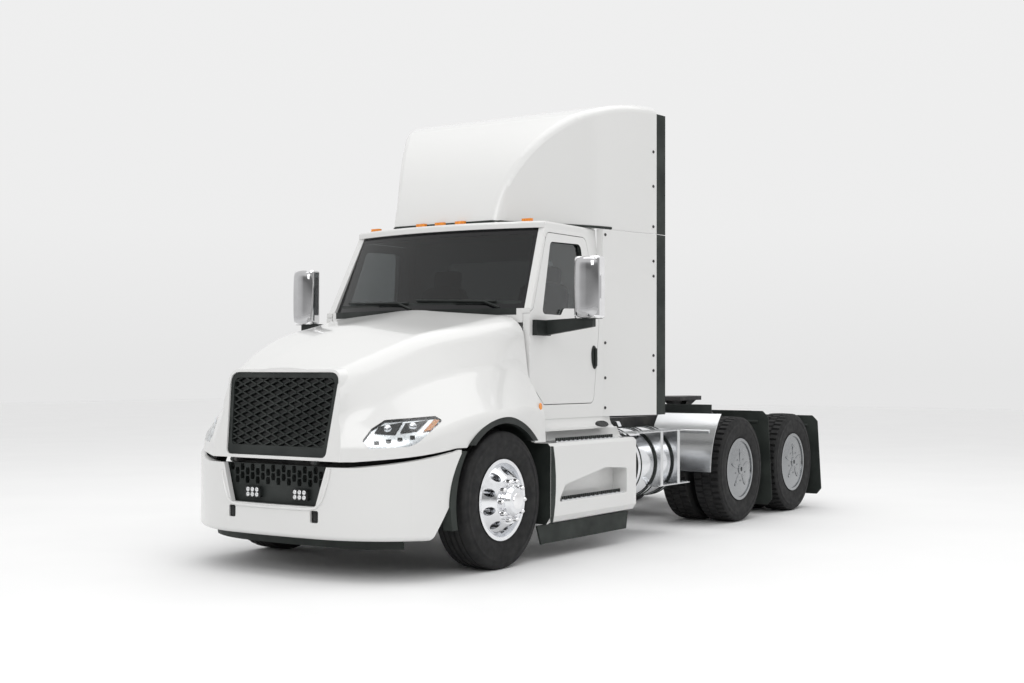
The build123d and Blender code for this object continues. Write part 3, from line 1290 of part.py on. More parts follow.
DASH_REAR = 860.0
WHEEL_RADIUS = 225.0


DASH_SECTION = (                         # behind the axle, height
    (FIREWALL, 1300.0), (FIREWALL, SCREEN_LOW - 10.0), (760.0, SCREEN_LOW - 20.0), (DASH_REAR, 1840.0),
    (DASH_REAR - 20.0, 1640.0), (760.0, 1450.0),
)
DASH_PLAY = 12.0
DASH_ROUND = 20.0
COLUMN_FOOT = (DASH_REAR - 60.0, 1680.0)
COLUMN_HUB = (DASH_REAR + 120.0, 1790.0)
COLUMN_RADIUS = 30.0
WHEEL_GRIP = 16.0
SPOKE = (36.0, 14.0)


def dashboard():
    """Dashboard across the firewall, with the column and steering wheel on the left."""
    points = [(behind(place), height) for place, height in DASH_SECTION]
    half = CAB_HALF - CAB_WALL - DASH_PLAY
    dash = side_prism(points, (-half, half), DASH_ROUND)
    foot = (behind(COLUMN_FOOT[0]), SEAT_Y, COLUMN_FOOT[1])
    hub = (behind(COLUMN_HUB[0]), SEAT_Y, COLUMN_HUB[1])
    dash += rod(foot, hub, COLUMN_RADIUS)
    axis = (Vector(*hub) - Vector(*foot)).normalized()
    plane = Plane(origin=hub, z_dir=axis)
    dash += plane * Torus(WHEEL_RADIUS, WHEEL_GRIP)
    for turn in (0, 120, 240):
        spoke = Pos(WHEEL_RADIUS / 2, 0, 0) * Box(WHEEL_RADIUS, *SPOKE)
        dash += plane * (Rot(0, 0, turn) * spoke)
    return dash


node("cab_sides", *pair(cab_side()))
node("cab_cowl", cowl())
node("cab_back", cab_back())
node("cab_roof", cab_roof())
node("cab_floor", cab_floor())
rear_glass_x = (behind(CAB_REAR - REAR_GLASS_SETBACK), behind(CAB_REAR - REAR_GLASS_SETBACK - GLASS))
rear_glass = rear_window(SEAT_GAP) & block(rear_glass_x, (-CAB_HALF, CAB_HALF), (0, ROOF_TOP))
node("cab_glass", windscreen(2.0, GLASS), rear_glass)
node("seats", seat(1), seat(-1))
node("dashboard", dashboard())

# Doors

DOOR_GLASS_IN = 24.0
MIRROR_X = 745.0
MIRROR_HALF = 1443.0
MIRROR_SIZE = (130.0, 228.0, 480.0)
MIRROR_MIDDLE = 2085.0
ARM_ROOT = (620.0, 1780.0)


def door():
    """Left door with its window cut."""
    x_ends = (behind(CAB_REAR), behind(CAB_FRONT))
    panel = side_wall(x_ends, DOOR_LOW, ROOF_LOW, 0, CAB_WALL) & door_prism(0)
    return panel - window_prism(0)


def door_glass():
    """Left door's glass, let into its frame."""
    x_ends = (behind(CAB_REAR), behind(CAB_FRONT))
    return side_wall(x_ends, DOOR_LOW, ROOF_LOW, DOOR_GLASS_IN, DOOR_GLASS_IN + GLASS) & window_prism(-SEAT_GAP)


def door_mirror():
    """Mirror head at the end of an arm from the left door."""
    x = behind(MIRROR_X)
    long, wide, tall = MIRROR_SIZE
    head = block((x - long / 2, x + long / 2), (MIRROR_HALF - wide / 2, MIRROR_HALF + wide / 2),
                 (MIRROR_MIDDLE - tall / 2, MIRROR_MIDDLE + tall / 2))
    head = fillet(head.edges().filter_by(Axis.Z), 40)
    head = fillet(head.faces().sort_by(Axis.Z)[-1].edges() + head.faces().sort_by(Axis.Z)[0].edges(), 25)
    root_x = behind(ARM_ROOT[0])
    z = ARM_ROOT[1]
    low = MIRROR_MIDDLE - tall / 2
    arm = [
        (CAB_HALF, z - 60), (CAB_HALF, z + 60), (MIRROR_HALF - 40, low + 10), (MIRROR_HALF + 40, low + 10),
        (MIRROR_HALF + 40, low - 60), (MIRROR_HALF - 60, low - 75),
    ]
    bar = front_prism(arm, (x - 25, x + 25), 8)
    foot = block((x - 40, root_x + 40), (CAB_HALF, CAB_HALF + 40), (z - 60, z + 60))
    return head + bar + foot


for name, build in (("door", door), ("door_glass", door_glass), ("mirror", door_mirror)):
    left, right = pair(build())
    node(f"{name}_left", left)
    node(f"{name}_right", right)

# Lamps

ROOF_LAMPS = ((728.0, 0.0), (735.0, 200.0), (735.0, -200.0), (850.0, 778.0), (850.0, -778.0))
LAMP_SIZE = (42.0, 95.0, 26.0)
TAIL_LAMP = (300.0, 120.0, 110.0)


def roof_lamp(place, y):
    """Low rounded marker lamp on the roof's brow."""
    long, wide, tall = LAMP_SIZE
    x = behind(place) - long
    lamp = block((x - long / 2, x + long / 2), (y - wide / 2, y + wide / 2), (ROOF_TOP, ROOF_TOP + tall))
    return fillet(lamp.edges().filter_by(Axis.Z), 12)


def tail_lamp():
    """Left tail lamp on the frame's closing beam."""
    y, wide, tall = TAIL_LAMP
    lamp = block((X_END, X_END + TAIL_LAMP_THICK), (y - wide, y + wide / 2), (RAIL_LOW + 60, RAIL_LOW + 60 + tall))
    return fillet(lamp.edges().filter_by(Axis.X), 20)


node("marker_lamps", *[roof_lamp(place, y) for place, y in ROOF_LAMPS], *pair(tail_lamp()))

# Fifth wheel

PLATE_THICK = 38.0
PLATE_HALF = 470.0
PLATE_OUTLINE = (                        # ahead of the jaw, from the centre line
    (420.0, 300.0), (300.0, PLATE_HALF), (-180.0, PLATE_HALF), (-470.0, 330.0), (-470.0, 180.0), (-60.0, KING_PIN_JAW),
)
EAR_THICK = 45.0
EAR_INSET = 20.0
EAR_RADIUS = 50.0


def fifth_wheel_mount():
    """Left pedestal on the rail, with a bore for the plate's trunnion."""
    inner = RAIL_INNER
    ear_in = inner + EAR_INSET
    ear_out = ear_in + EAR_THICK
    points = [
        (X_COUPLING - 260, RAIL_TOP), (X_COUPLING + 260, RAIL_TOP), (X_COUPLING + 240, RAIL_TOP + 25),
        (X_COUPLING + EAR_RADIUS, COUPLING_PIVOT), (X_COUPLING - EAR_RADIUS, COUPLING_PIVOT),
        (X_COUPLING - 240, RAIL_TOP + 25),
    ]
    ear = side_prism(points, (ear_in, ear_out))
    ear += rod((X_COUPLING, ear_in, COUPLING_PIVOT), (X_COUPLING, ear_out, COUPLING_PIVOT), EAR_RADIUS)
    ear += block((X_COUPLING - 300, X_COUPLING + 300), (inner, RAIL_HALF), (RAIL_TOP, RAIL_TOP + 14))
    bore_ends = (X_COUPLING, inner, COUPLING_PIVOT), (X_COUPLING, RAIL_HALF, COUPLING_PIVOT)
    return ear - rod(*bore_ends, TRUNNION_RADIUS + SEAT_GAP)


def fifth_wheel_plate():
    """Coupling plate with its rear throat, ramps, ribs and trunnions."""
    top = COUPLING_TOP
    low = top - PLATE_THICK
    throat = KING_PIN_JAW
    half = [(X_COUPLING + place, y) for place, y in PLATE_OUTLINE]
    points = half + [(x, -y) for x, y in reversed(half)]
    plate = plan_prism(points, (low, top))
    plate -= rod((X_COUPLING, 0, low - 1), (X_COUPLING, 0, top + 1), throat)
    plate -= block((X_COUPLING - 100, X_COUPLING), (-throat, throat), (low - 1, top + 1))
    for side in (1, -1):
        inner = side * (RAIL_INNER - 70)
        outer = side * (RAIL_INNER + EAR_INSET - 5)
        rib = [
            (X_COUPLING - 300, low), (X_COUPLING + 300, low), (X_COUPLING + 60, COUPLING_PIVOT - 40),
            (X_COUPLING - 60, COUPLING_PIVOT - 40),
        ]
        plate += side_prism(rib, (inner, outer))
        trunnion_end = side * (RAIL_INNER + EAR_INSET + EAR_THICK)
        plate += rod((X_COUPLING, inner, COUPLING_PIVOT), (X_COUPLING, trunnion_end, COUPLING_PIVOT), TRUNNION_RADIUS)
    return plate


node("fifth_wheel_mount", *pair(fifth_wheel_mount()))
node("fifth_wheel_plate", fifth_wheel_plate())

# Mud guards

GUARD_HALF = (620.0, 1270.0)
GUARD_THICK = 8.0
QUARTER_RADIUS = 760.0
GUARDS = (                               # place, lower edge, upper edge, extra width
    (X_TANDEM, 110.0, 1050.0, 0.0),
    (X_DRIVE[1] - 600.0, 130.0, 975.0, 30.0),
)


def quarter_fender():
    """Polished quarter fender ahead of the left drive wheels, on a bar from the rail."""
    x = X_DRIVE[0]
    ring = tube(x, GUARD_HALF, QUARTER_RADIUS, QUARTER_RADIUS - GUARD_THICK)
    part = ring & block((x + 520, x + 900), (0, 2000), (AXLE + 15, AXLE + 545))
    z = AXLE + 380
    reach = x + sqrt((QUARTER_RADIUS - GUARD_THICK / 2) ** 2 - (z - AXLE) ** 2)
    return part + rod((reach, RAIL_HALF, z), (reach, GUARD_HALF[1] - 60, z), 20)


def flat_guard(x, low, high, wide):
    """Hanging mud guard behind left wheels, on a bar from the rail."""
    y0, y1 = GUARD_HALF
    y1 += wide
    points = [(y0, low), (y1 - 50, low), (y1, low + 60), (y1 - 40, high - 60), (y1 - 100, high), (y0, high)]
    guard = front_prism(points, (x - GUARD_THICK / 2, x + GUARD_THICK / 2), 20)
    z = high - 110
    return guard + rod((x, RAIL_HALF, z), (x, y1 - 150, z), 18)


guards = []
for place, low, high, wide in GUARDS:
    guards += pair(flat_guard(place, low, high, wide))
node("quarter_fenders", *pair(quarter_fender()))
node("mud_guards", *guards)

os.makedirs("parts", exist_ok=True)
for name, solids in NODES.items():
    export_step(Compound(solids), f"parts/{name}.step")
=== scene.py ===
import json
from math import cos, pi, radians, sin

import bmesh
import bpy
from mathutils import Matrix, Vector
from mathutils.bvhtree import BVHTree


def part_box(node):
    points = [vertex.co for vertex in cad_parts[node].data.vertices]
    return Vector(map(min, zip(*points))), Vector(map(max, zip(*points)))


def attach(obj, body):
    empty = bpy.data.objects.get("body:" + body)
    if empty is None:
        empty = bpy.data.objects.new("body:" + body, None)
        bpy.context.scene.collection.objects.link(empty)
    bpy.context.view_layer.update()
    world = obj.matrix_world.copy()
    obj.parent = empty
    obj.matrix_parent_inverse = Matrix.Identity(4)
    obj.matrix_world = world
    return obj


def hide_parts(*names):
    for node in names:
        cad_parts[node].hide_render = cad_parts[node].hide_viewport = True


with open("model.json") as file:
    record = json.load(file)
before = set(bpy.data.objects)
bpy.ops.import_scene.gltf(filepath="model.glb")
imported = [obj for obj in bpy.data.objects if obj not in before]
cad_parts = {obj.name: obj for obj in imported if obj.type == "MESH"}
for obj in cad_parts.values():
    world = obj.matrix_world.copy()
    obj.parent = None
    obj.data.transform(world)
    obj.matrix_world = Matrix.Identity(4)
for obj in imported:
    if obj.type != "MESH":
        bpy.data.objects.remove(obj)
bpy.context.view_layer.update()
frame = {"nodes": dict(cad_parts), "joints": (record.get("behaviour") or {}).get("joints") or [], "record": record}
nodes = frame["nodes"]
joint_at = {joint["name"]: Vector(joint["pos_m"]) for joint in frame["joints"]}

# Places read from the frame, in metres
STEER_LEFT = joint_at["steer_wheel_left_spin"]
X_STEER = STEER_LEFT.x
TYRE_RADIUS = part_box("steer_tyre_left")[1].z - STEER_LEFT.z
SIDES = {"left": 1, "right": -1}
FORWARD = Vector((1, 0, 0))
UP = Vector((0, 0, 1))


# Materials

NOISE_LOW = 0.3
NOISE_HIGH = 0.7
MARK_SHADE = 0.9


def fill(node, **sockets):
    """Set a shader node's sockets, named with underscores for spaces."""
    for key, value in sockets.items():
        node.inputs[key.replace("_", " ")].default_value = value
    return node


class Surface:
    """A material under construction: its shader, and short ways to add nodes to it."""

    def __init__(self, name, **sockets):
        self.material = bpy.data.materials.new(name)
        self.material.use_nodes = True
        self.tree = self.material.node_tree
        self.shader = fill(self.tree.nodes["Principled BSDF"], **sockets)
        self.place = self.tree.nodes.new("ShaderNodeTexCoord").outputs["Object"]

    def add(self, kind, **sockets):
        return fill(self.tree.nodes.new(kind), **sockets)

    def link(self, source, target):
        self.tree.links.new(source, target)

    def noise(self, scale, detail, stretch=None):
        node = self.add("ShaderNodeTexNoise", Scale=scale, Detail=detail)
        source = self.place
        if stretch:
            mapping = self.add("ShaderNodeMapping", Scale=stretch)
            self.link(source, mapping.inputs["Vector"])
            source = mapping.outputs["Vector"]
        self.link(source, node.inputs["Vector"])
        return node.outputs["Fac"]

    def tint(self, source, dark, light, start=NOISE_LOW, end=NOISE_HIGH):
        node = self.add("ShaderNodeValToRGB")
        for element, place, colour in zip(node.color_ramp.elements, (start, end), (dark, light)):
            element.position = place
            element.color = (*colour, 1)
        self.link(source, node.inputs["Fac"])
        self.link(node.outputs["Color"], self.shader.inputs["Base Color"])

    def rough(self, source, low, high):
        node = self.add("ShaderNodeMapRange", From_Min=NOISE_LOW, From_Max=NOISE_HIGH, To_Min=low,
                        To_Max=high)
        self.link(source, node.inputs["Value"])
        self.link(node.outputs["Result"], self.shader.inputs["Roughness"])

    def bump(self, source, strength, distance):
        node = self.add("ShaderNodeBump", Strength=strength, Distance=distance)
        self.link(source, node.inputs["Height"])
        self.link(node.outputs["Normal"], self.shader.inputs["Normal"])

    def finish(self, tint, rough, bump):
        """Noise in colour, roughness and height, each a row of scale, detail and what its own call takes."""
        for call, (scale, detail, *values) in ((self.tint, tint), (self.rough, rough), (self.bump, bump)):
            call(self.noise(scale, detail), *values)
        return self.material


def white_paint():
    """Gloss white coat with a trace of orange peel and road film."""
    surface = Surface("white_paint", Coat_Weight=0.7, Coat_Roughness=0.06, IOR=1.5)
    return surface.finish(tint=(0.5, 2, (0.70, 0.70, 0.69), (0.73, 0.73, 0.722), 0.0, 1.0),
                          rough=(0.8, 1, 0.275, 0.285), bump=(260.0, 1, 0.03, 0.0006))


def moulded_plastic(name, dark, light, rough, grain):
    """Grained black moulding."""
    surface = Surface(name, Specular_IOR_Level=0.28)
    return surface.finish(tint=(4.0, 5, dark, light), rough=(9.0, 4, *rough), bump=(grain, 2, 0.18, 0.0008))


def tyre_rubber():
    """Dull rubber with dust on it."""
    surface = Surface("tyre", Specular_IOR_Level=0.3)
    return surface.finish(tint=(14.0, 6, (0.009, 0.009, 0.010), (0.024, 0.024, 0.023), 0.3, 0.9),
                          rough=(22.0, 4, 0.62, 0.82), bump=(420.0, 2, 0.15, 0.0006))


def bright_metal(name, colour, rough, scale=60.0, stretch=(1.0, 1.0, 1.0)):
    """Polished or brushed metal with fine drawn marks."""
    surface = Surface(name, Metallic=1.0)
    marks = surface.noise(scale, detail=4, stretch=stretch)
    surface.tint(marks, tuple(MARK_SHADE * value for value in colour), colour)
    surface.rough(marks, *rough)
    surface.bump(marks, strength=0.06, distance=0.0004)
    return surface.material


def dark_paint(name, dark, light, rough):
    """Chassis paint with dust on it."""
    return Surface(name).finish(tint=(5.0, 7, dark, light, 0.4, 0.85), rough=(12.0, 5, *rough),
                                bump=(180.0, 3, 0.12, 0.0008))


def tinted_glass(name, colour):
    """Clear pane with a grey tint and a film of dust."""
    surface = Surface(name, Base_Color=(*colour, 1), Transmission_Weight=1.0, IOR=1.45)
    surface.rough(surface.noise(scale=2.2, detail=5), low=0.0, high=0.035)
    return surface.material


# Clear part of the windscreen: its heights, half its width at the foot, and how it narrows upwards
BAND_HEIGHTS = (1.985, 2.535)
BAND_HALF = 0.925
BAND_LEAN = 0.095


def banded_glass(name, colour):
    """Windscreen glass with a black printed band along its edges."""
    surface = Surface(name, IOR=1.45)
    split = surface.add("ShaderNodeSeparateXYZ")
    surface.link(surface.place, split.inputs["Vector"])

    def work_out(operation, *terms):
        node = surface.add("ShaderNodeMath")
        node.operation = operation
        for slot, term in zip(node.inputs, terms):
            if isinstance(term, (int, float)):
                slot.default_value = term
            else:
                surface.link(term, slot)
        return node.outputs["Value"]

    height = split.outputs["Z"]
    from_middle = work_out("ABSOLUTE", split.outputs["Y"])
    low, high = BAND_HEIGHTS
    lean = work_out("MULTIPLY", work_out("SUBTRACT", height, low), BAND_LEAN)
    edge = work_out("SUBTRACT", BAND_HALF, lean)
    band = work_out("GREATER_THAN", from_middle, edge)
    band = work_out("MAXIMUM", band, work_out("LESS_THAN", height, low))
    band = work_out("MAXIMUM", band, work_out("GREATER_THAN", height, high))
    clear = work_out("SUBTRACT", 1.0, band)
    surface.link(clear, surface.shader.inputs["Transmission Weight"])
    surface.tint(clear, dark=(0.006, 0.006, 0.007), light=colour, start=0.0, end=1.0)
    surface.rough(surface.noise(scale=2.2, detail=5), low=0.0, high=0.035)
    return surface.material


def coloured_lens(name, dark, light):
    """Ribbed lamp lens, dull when unlit."""
    surface = Surface(name, Coat_Weight=0.8, Coat_Roughness=0.05, Subsurface_Weight=0.15)
    surface.tint(surface.noise(scale=50.0, detail=2), dark, light)
    surface.rough(surface.noise(scale=30.0, detail=2), low=0.12, high=0.2)
    ribs = surface.add("ShaderNodeTexWave", Scale=90.0)
    surface.link(surface.place, ribs.inputs["Vector"])
    surface.bump(ribs.outputs["Fac"], strength=0.25, distance=0.001)
    return surface.material


def seat_cloth():
    """Woven seat fabric with fuzz."""
    surface = Surface("seat_cloth", Sheen_Weight=0.4)
    surface.tint(surface.noise(scale=220.0, detail=3), dark=(0.03, 0.032, 0.036), light=(0.08, 0.085, 0.095))
    surface.rough(surface.noise(scale=60.0, detail=3), low=0.8, high=0.95)
    weave = surface.add("ShaderNodeTexVoronoi", Scale=600.0)
    surface.link(surface.place, weave.inputs["Vector"])
    surface.bump(weave.outputs["Distance"], strength=0.35, distance=0.0012)
    return surface.material


PAINT = white_paint()
PLASTIC = moulded_plastic("black_plastic", dark=(0.010, 0.013, 0.012), light=(0.030, 0.034, 0.032),
                          rough=(0.38, 0.55), grain=700.0)
RUBBER = moulded_plastic("black_rubber", dark=(0.012, 0.016, 0.014), light=(0.034, 0.040, 0.036),
                         rough=(0.55, 0.72), grain=500.0)
GLOSS_BLACK = moulded_plastic("gloss_black", dark=(0.006, 0.007, 0.007), light=(0.012, 0.013, 0.013),
                              rough=(0.08, 0.16), grain=900.0)
TYRE = tyre_rubber()
ALLOY = bright_metal("polished_alloy", (0.86, 0.87, 0.89), rough=(0.10, 0.24), scale=24.0)
TANK = bright_metal("polished_tank", (0.84, 0.85, 0.87), rough=(0.08, 0.2), stretch=(0.6, 14.0, 14.0))
COVER = bright_metal("wheel_cover", (0.33, 0.34, 0.35), rough=(0.14, 0.26), scale=40.0)
CHROME = bright_metal("chrome", (0.92, 0.92, 0.93), rough=(0.02, 0.06), scale=12.0)
STAINLESS = bright_metal("stainless", (0.72, 0.73, 0.74), rough=(0.16, 0.32), stretch=(2.0, 2.0, 40.0))
CHASSIS = dark_paint("chassis_paint", (0.010, 0.010, 0.011), (0.060, 0.056, 0.050), rough=(0.4, 0.65))
IRON = dark_paint("cast_iron", (0.030, 0.030, 0.032), (0.085, 0.082, 0.078), rough=(0.5, 0.75))
GLASS = tinted_glass("tinted_glass", (0.58, 0.61, 0.62))
SCREEN = banded_glass("windscreen", (0.10, 0.11, 0.11))
CLEAR = tinted_glass("clear_lens", (0.93, 0.95, 0.96))
AMBER = coloured_lens("amber_lens", (0.70, 0.20, 0.015), (0.95, 0.34, 0.03))
RED = coloured_lens("red_lens", (0.35, 0.012, 0.010), (0.55, 0.03, 0.02))
CLOTH = seat_cloth()
SILVERED = bright_metal("silvered_glass", (0.90, 0.91, 0.92), rough=(0.0, 0.02), scale=3.0)
LED = bright_metal("led_cluster", (0.85, 0.87, 0.90), rough=(0.08, 0.18), scale=90.0)
SHELL = bright_metal("mirror_shell", (0.58, 0.58, 0.59), rough=(0.03, 0.08), scale=9.0)
SILVER = bright_metal("lamp_silver", (0.80, 0.81, 0.82), rough=(0.22, 0.34), scale=30.0)

NODE_MATERIALS = {
    "white_paint": PAINT, "black_plastic": PLASTIC, "rubber": RUBBER, "tyre": TYRE, "polished_metal": ALLOY,
    "wheel_cover": COVER, "bright_steel": CHROME, "chassis_paint": CHASSIS, "cast_iron": IRON, "glass": GLASS,
    "lamp_lens": CLEAR, "amber_lens": AMBER, "seat_cloth": CLOTH,
}
OWN_MATERIALS = {"tanks": TANK, "quarter_fenders": STAINLESS, "step_treads": STAINLESS, "cab_floor": PLASTIC,
                 "cab_glass": SCREEN}


def dress_nodes():
    """Give every CAD node the finish of its slot, or its own."""
    for part in frame["record"]["subparts"]:
        name = part["node"]
        finish = OWN_MATERIALS.get(name, NODE_MATERIALS[part["material_slot"]])
        slots = nodes[name].data.materials
        slots.clear()
        slots.append(finish)


def paint_polygons(node, materials, choose):
    """Give the faces of a node further finishes, each face by the number chosen for it."""
    mesh = nodes[node].data
    for material in materials:
        mesh.materials.append(material)
    for face in mesh.polygons:
        face.material_index = choose(face)


# Mesh helpers

def place_piece(name, mesh, materials, body, smooth, replaces=()):
    """Object made of a mesh that rides on a body, smooth but for edges sharper than an angle in degrees."""
    for material in materials:
        mesh.materials.append(material)
    thing = bpy.data.objects.new(name, mesh)
    bpy.context.scene.collection.objects.link(thing)
    if smooth:
        mesh.shade_smooth()
        mesh.set_sharp_from_angle(angle=radians(smooth))
    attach(thing, body)
    if replaces:
        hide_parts(*replaces)
    return thing


def circle(first, second, segments):
    """Vectors all round, from one radius towards another that is square to it."""
    angles = [2 * pi * step / segments for step in range(segments)]
    return [first * cos(angle) + second * sin(angle) for angle in angles]


def round_axis(axis, segments):
    """Unit vectors all round an axis."""
    across = axis.orthogonal().normalized()
    return circle(across, axis.cross(across), segments)


# Rows: share of an oval's spread, share of its depth
OVAL_STEPS = ((1.0, -0.2), (1.0, 0.25), (0.96, 0.7), (0.85, 0.95), (0.4, 1.0))
OVAL_SEGMENTS = 32
UPRIGHT = 1e-4


class Form:
    """Vertices and faces of many small shapes, joined in one mesh."""

    def __init__(self):
        self.verts = []
        self.faces = []

    def grid(self, rows, close_rows=False, close_columns=False):
        """Quads between rows of points that all have the same count."""
        base = len(self.verts)
        count = len(rows[0])
        for row in rows:
            self.verts.extend(row)
        row_total = len(rows) if close_rows else len(rows) - 1
        column_total = count if close_columns else count - 1
        for i in range(row_total):
            here = base + i * count
            there = base + ((i + 1) % len(rows)) * count
            for j in range(column_total):
                k = (j + 1) % count
                self.faces.append((here + j, here + k, there + k, there + j))

    def cap(self, start, count):
        """One face over a row of points."""
        self.faces.append(tuple(range(start, start + count)))

    def closed(self, rows):
        """Quads between closed rows, with a cap on the first and the last."""
        start = len(self.verts)
        count = len(rows[0])
        self.grid(rows, close_columns=True)
        self.cap(start, count)
        self.cap(start + (len(rows) - 1) * count, count)

    def lathe(self, origin, axis, profile, segments):
        """Solid turned about an axis, from a profile of radius and distance along it."""
        axis = Vector(axis).normalized()
        spokes = round_axis(axis, segments)
        rows = []
        for radius, distance in profile:
            middle = Vector(origin) + axis * distance
            rows.append([middle + out * radius for out in spokes])
        self.closed(rows)

    def ring(self, origin, axis, profile, segments):
        """Hoop about an axis, from a closed profile of radius and distance along it."""
        axis = Vector(axis).normalized()
        rows = []
        for out in round_axis(axis, segments):
            rows.append([Vector(origin) + axis * distance + out * radius for radius, distance in profile])
        self.grid(rows, close_rows=True, close_columns=True)

    def box(self, centre, size, bevel, turn=None):
        """Box with rounded edges, turned by a matrix about its middle."""
        made = bmesh.new()
        bmesh.ops.create_cube(made, size=1.0, matrix=Matrix.Diagonal((*size, 1.0)))
        bmesh.ops.bevel(made, geom=made.edges[:], offset=bevel, segments=2, affect="EDGES", profile=0.5)
        self.add_mesh(made, lambda point: Vector(centre) + (turn @ point if turn else point))

    def add_mesh(self, made, moved):
        """Take over a mesh with every point moved, and free it."""
        base = len(self.verts)
        made.verts.index_update()
        self.verts.extend(moved(vert.co) for vert in made.verts)
        for face in made.faces:
            self.faces.append(tuple(base + vert.index for vert in face.verts))
        made.free()

    def tube(self, points, radius, segments):
        """Round bar along a path of points."""
        rows = []
        for index, point in enumerate(points):
            before = points[max(index - 1, 0)]
            after = points[min(index + 1, len(points) - 1)]
            along = (after - before).normalized()
            side = along.cross(UP)
            side = side.normalized() if side.length > UPRIGHT else FORWARD
            rows.append([point + out * radius for out in circle(side, side.cross(along), segments)])
        self.closed(rows)

    def oval(self, centre, normal, up, half_wide, half_tall, depth):
        """Low oval dome on a surface."""
        normal = Vector(normal).normalized()
        up = (Vector(up) - normal * Vector(up).dot(normal)).normalized()
        radii = circle(up.cross(normal) * half_wide, up * half_tall, OVAL_SEGMENTS)
        rows = []
        for scale, lift in OVAL_STEPS:
            rows.append([Vector(centre) + out * scale + normal * depth * lift for out in radii])
        self.closed(rows)

    def make(self, name, material, body, smooth=35.0, replaces=()):
        """Turn the form into a piece."""
        mesh = bpy.data.meshes.new(name)
        mesh.from_pydata([tuple(vert) for vert in self.verts], [], self.faces)
        mesh.validate()
        made = bmesh.new()
        made.from_mesh(mesh)
        bmesh.ops.recalc_face_normals(made, faces=made.faces)
        made.to_mesh(mesh)
        made.free()
        return place_piece(name, mesh, (material,), body, smooth, replaces)


def both_sides(add, name, material, body):
    """One piece from shapes added on the left and on the right."""
    form = Form()
    for side in SIDES.values():
        add(form, side)
    form.make(name, material, body)


def spread(half, steps):
    """Even places from one side to the other."""
    return [half * (2 * step / steps - 1) for step in range(steps + 1)]


# Finding a node's surface

RAY_AHEAD = 6
RAY_ASIDE = 3
RAY_ABOVE = 3
trees = {}


def surface_at(node, origin, direction):
    """Point and normal where a ray meets a CAD node, or None for both."""
    if node not in trees:
        mesh = nodes[node].data
        corners = [vert.co.copy() for vert in mesh.vertices]
        trees[node] = BVHTree.FromPolygons(corners, [tuple(face.vertices) for face in mesh.polygons])
    return trees[node].ray_cast(Vector(origin), Vector(direction).normalized())[:2]


def from_front(node, y, z):
    """Point on a node, seen from ahead."""
    return surface_at(node, (RAY_AHEAD, y, z), (-1, 0, 0))[0]


def from_side(node, x, side, z):
    """Point on a node, seen from its own side of the truck."""
    return surface_at(node, (x, side * RAY_ASIDE, z), (0, -side, 0))[0]


def from_above(node, x, y):
    """Point on a node, seen from above."""
    return surface_at(node, (x, y, RAY_ABOVE), (0, 0, -1))[0]


# Tyres

TREAD_COLUMNS = 33
STEER_STEPS = 192
DRIVE_STEPS = 288
# Grooves and edges as shares of the tread's half width
STEER_GROOVES = (-0.62, -0.21, 0.21, 0.62)
DRIVE_GROOVES = (-0.36, 0.36)
GROOVE_HALF = 0.045
GROOVE_DEPTH = 0.015
SHOULDER = 0.9
SHOULDER_PITCH = 4
SHOULDER_DEPTH = 0.004
BLOCK_PITCH = 6
BLOCK_GAP = 2
BLOCK_SHIFT = 3
MIDDLE_DEPTH = 0.010
CROWN_DROP = 0.004
TREAD_HALF = 0.111
WALL_HALF = 0.1398
# Rows: radius, distance from the tyre's middle plane
WALL_STEPS = (
    (0.2875, 0.100), (0.299, 0.1165), (0.312, 0.1215), (0.318, 0.1275), (0.330, 0.1305), (0.352, 0.1355),
    (0.375, 0.1385), (0.396, 0.1396), (0.415, 0.1392), (0.432, 0.1375), (0.436, 0.1400), (0.452, 0.1392),
    (0.456, 0.1355), (0.470, 0.1340), (0.478, 0.1330), (0.486, 0.1295), (0.496, 0.1215),
)


def spoke(angle):
    """Unit vector out from a wheel's axle, at an angle from straight up."""
    return Vector((sin(angle), 0, cos(angle)))


def in_groove(across, grooves):
    return any(abs(across - groove) < GROOVE_HALF for groove in grooves)


def steer_depth(across, step):
    """Straight ribs with fine cuts at the shoulder."""
    if in_groove(across, STEER_GROOVES):
        return GROOVE_DEPTH
    if abs(across) > SHOULDER and step % SHOULDER_PITCH == 0:
        return SHOULDER_DEPTH
    return 0.0


def drive_depth(across, step):
    """Staggered blocks between two straight grooves and open shoulders."""
    if in_groove(across, DRIVE_GROOVES):
        return GROOVE_DEPTH
    in_middle = abs(across) < DRIVE_GROOVES[1]
    shift = BLOCK_SHIFT if in_middle else 0
    if (step + shift) % BLOCK_PITCH < BLOCK_GAP:
        return MIDDLE_DEPTH if in_middle else GROOVE_DEPTH
    return 0.0


def tyre_form(form, centre, depth, segments):
    """Tyre with walls, a raised wall band and a cut tread."""
    tread = [1 - 2 * column / (TREAD_COLUMNS - 1) for column in range(TREAD_COLUMNS)]
    rows = []
    for step in range(segments):
        out = spoke(2 * pi * step / segments)
        section = list(WALL_STEPS)
        for across in tread:
            crown = TYRE_RADIUS - CROWN_DROP * across * across - depth(across, step)
            section.append((crown, TREAD_HALF * across))
        section.extend((radius, -half) for radius, half in reversed(WALL_STEPS))
        rows.append([centre + out * radius + Vector((0, y, 0)) for radius, y in section])
    form.grid(rows, close_rows=True, close_columns=True)


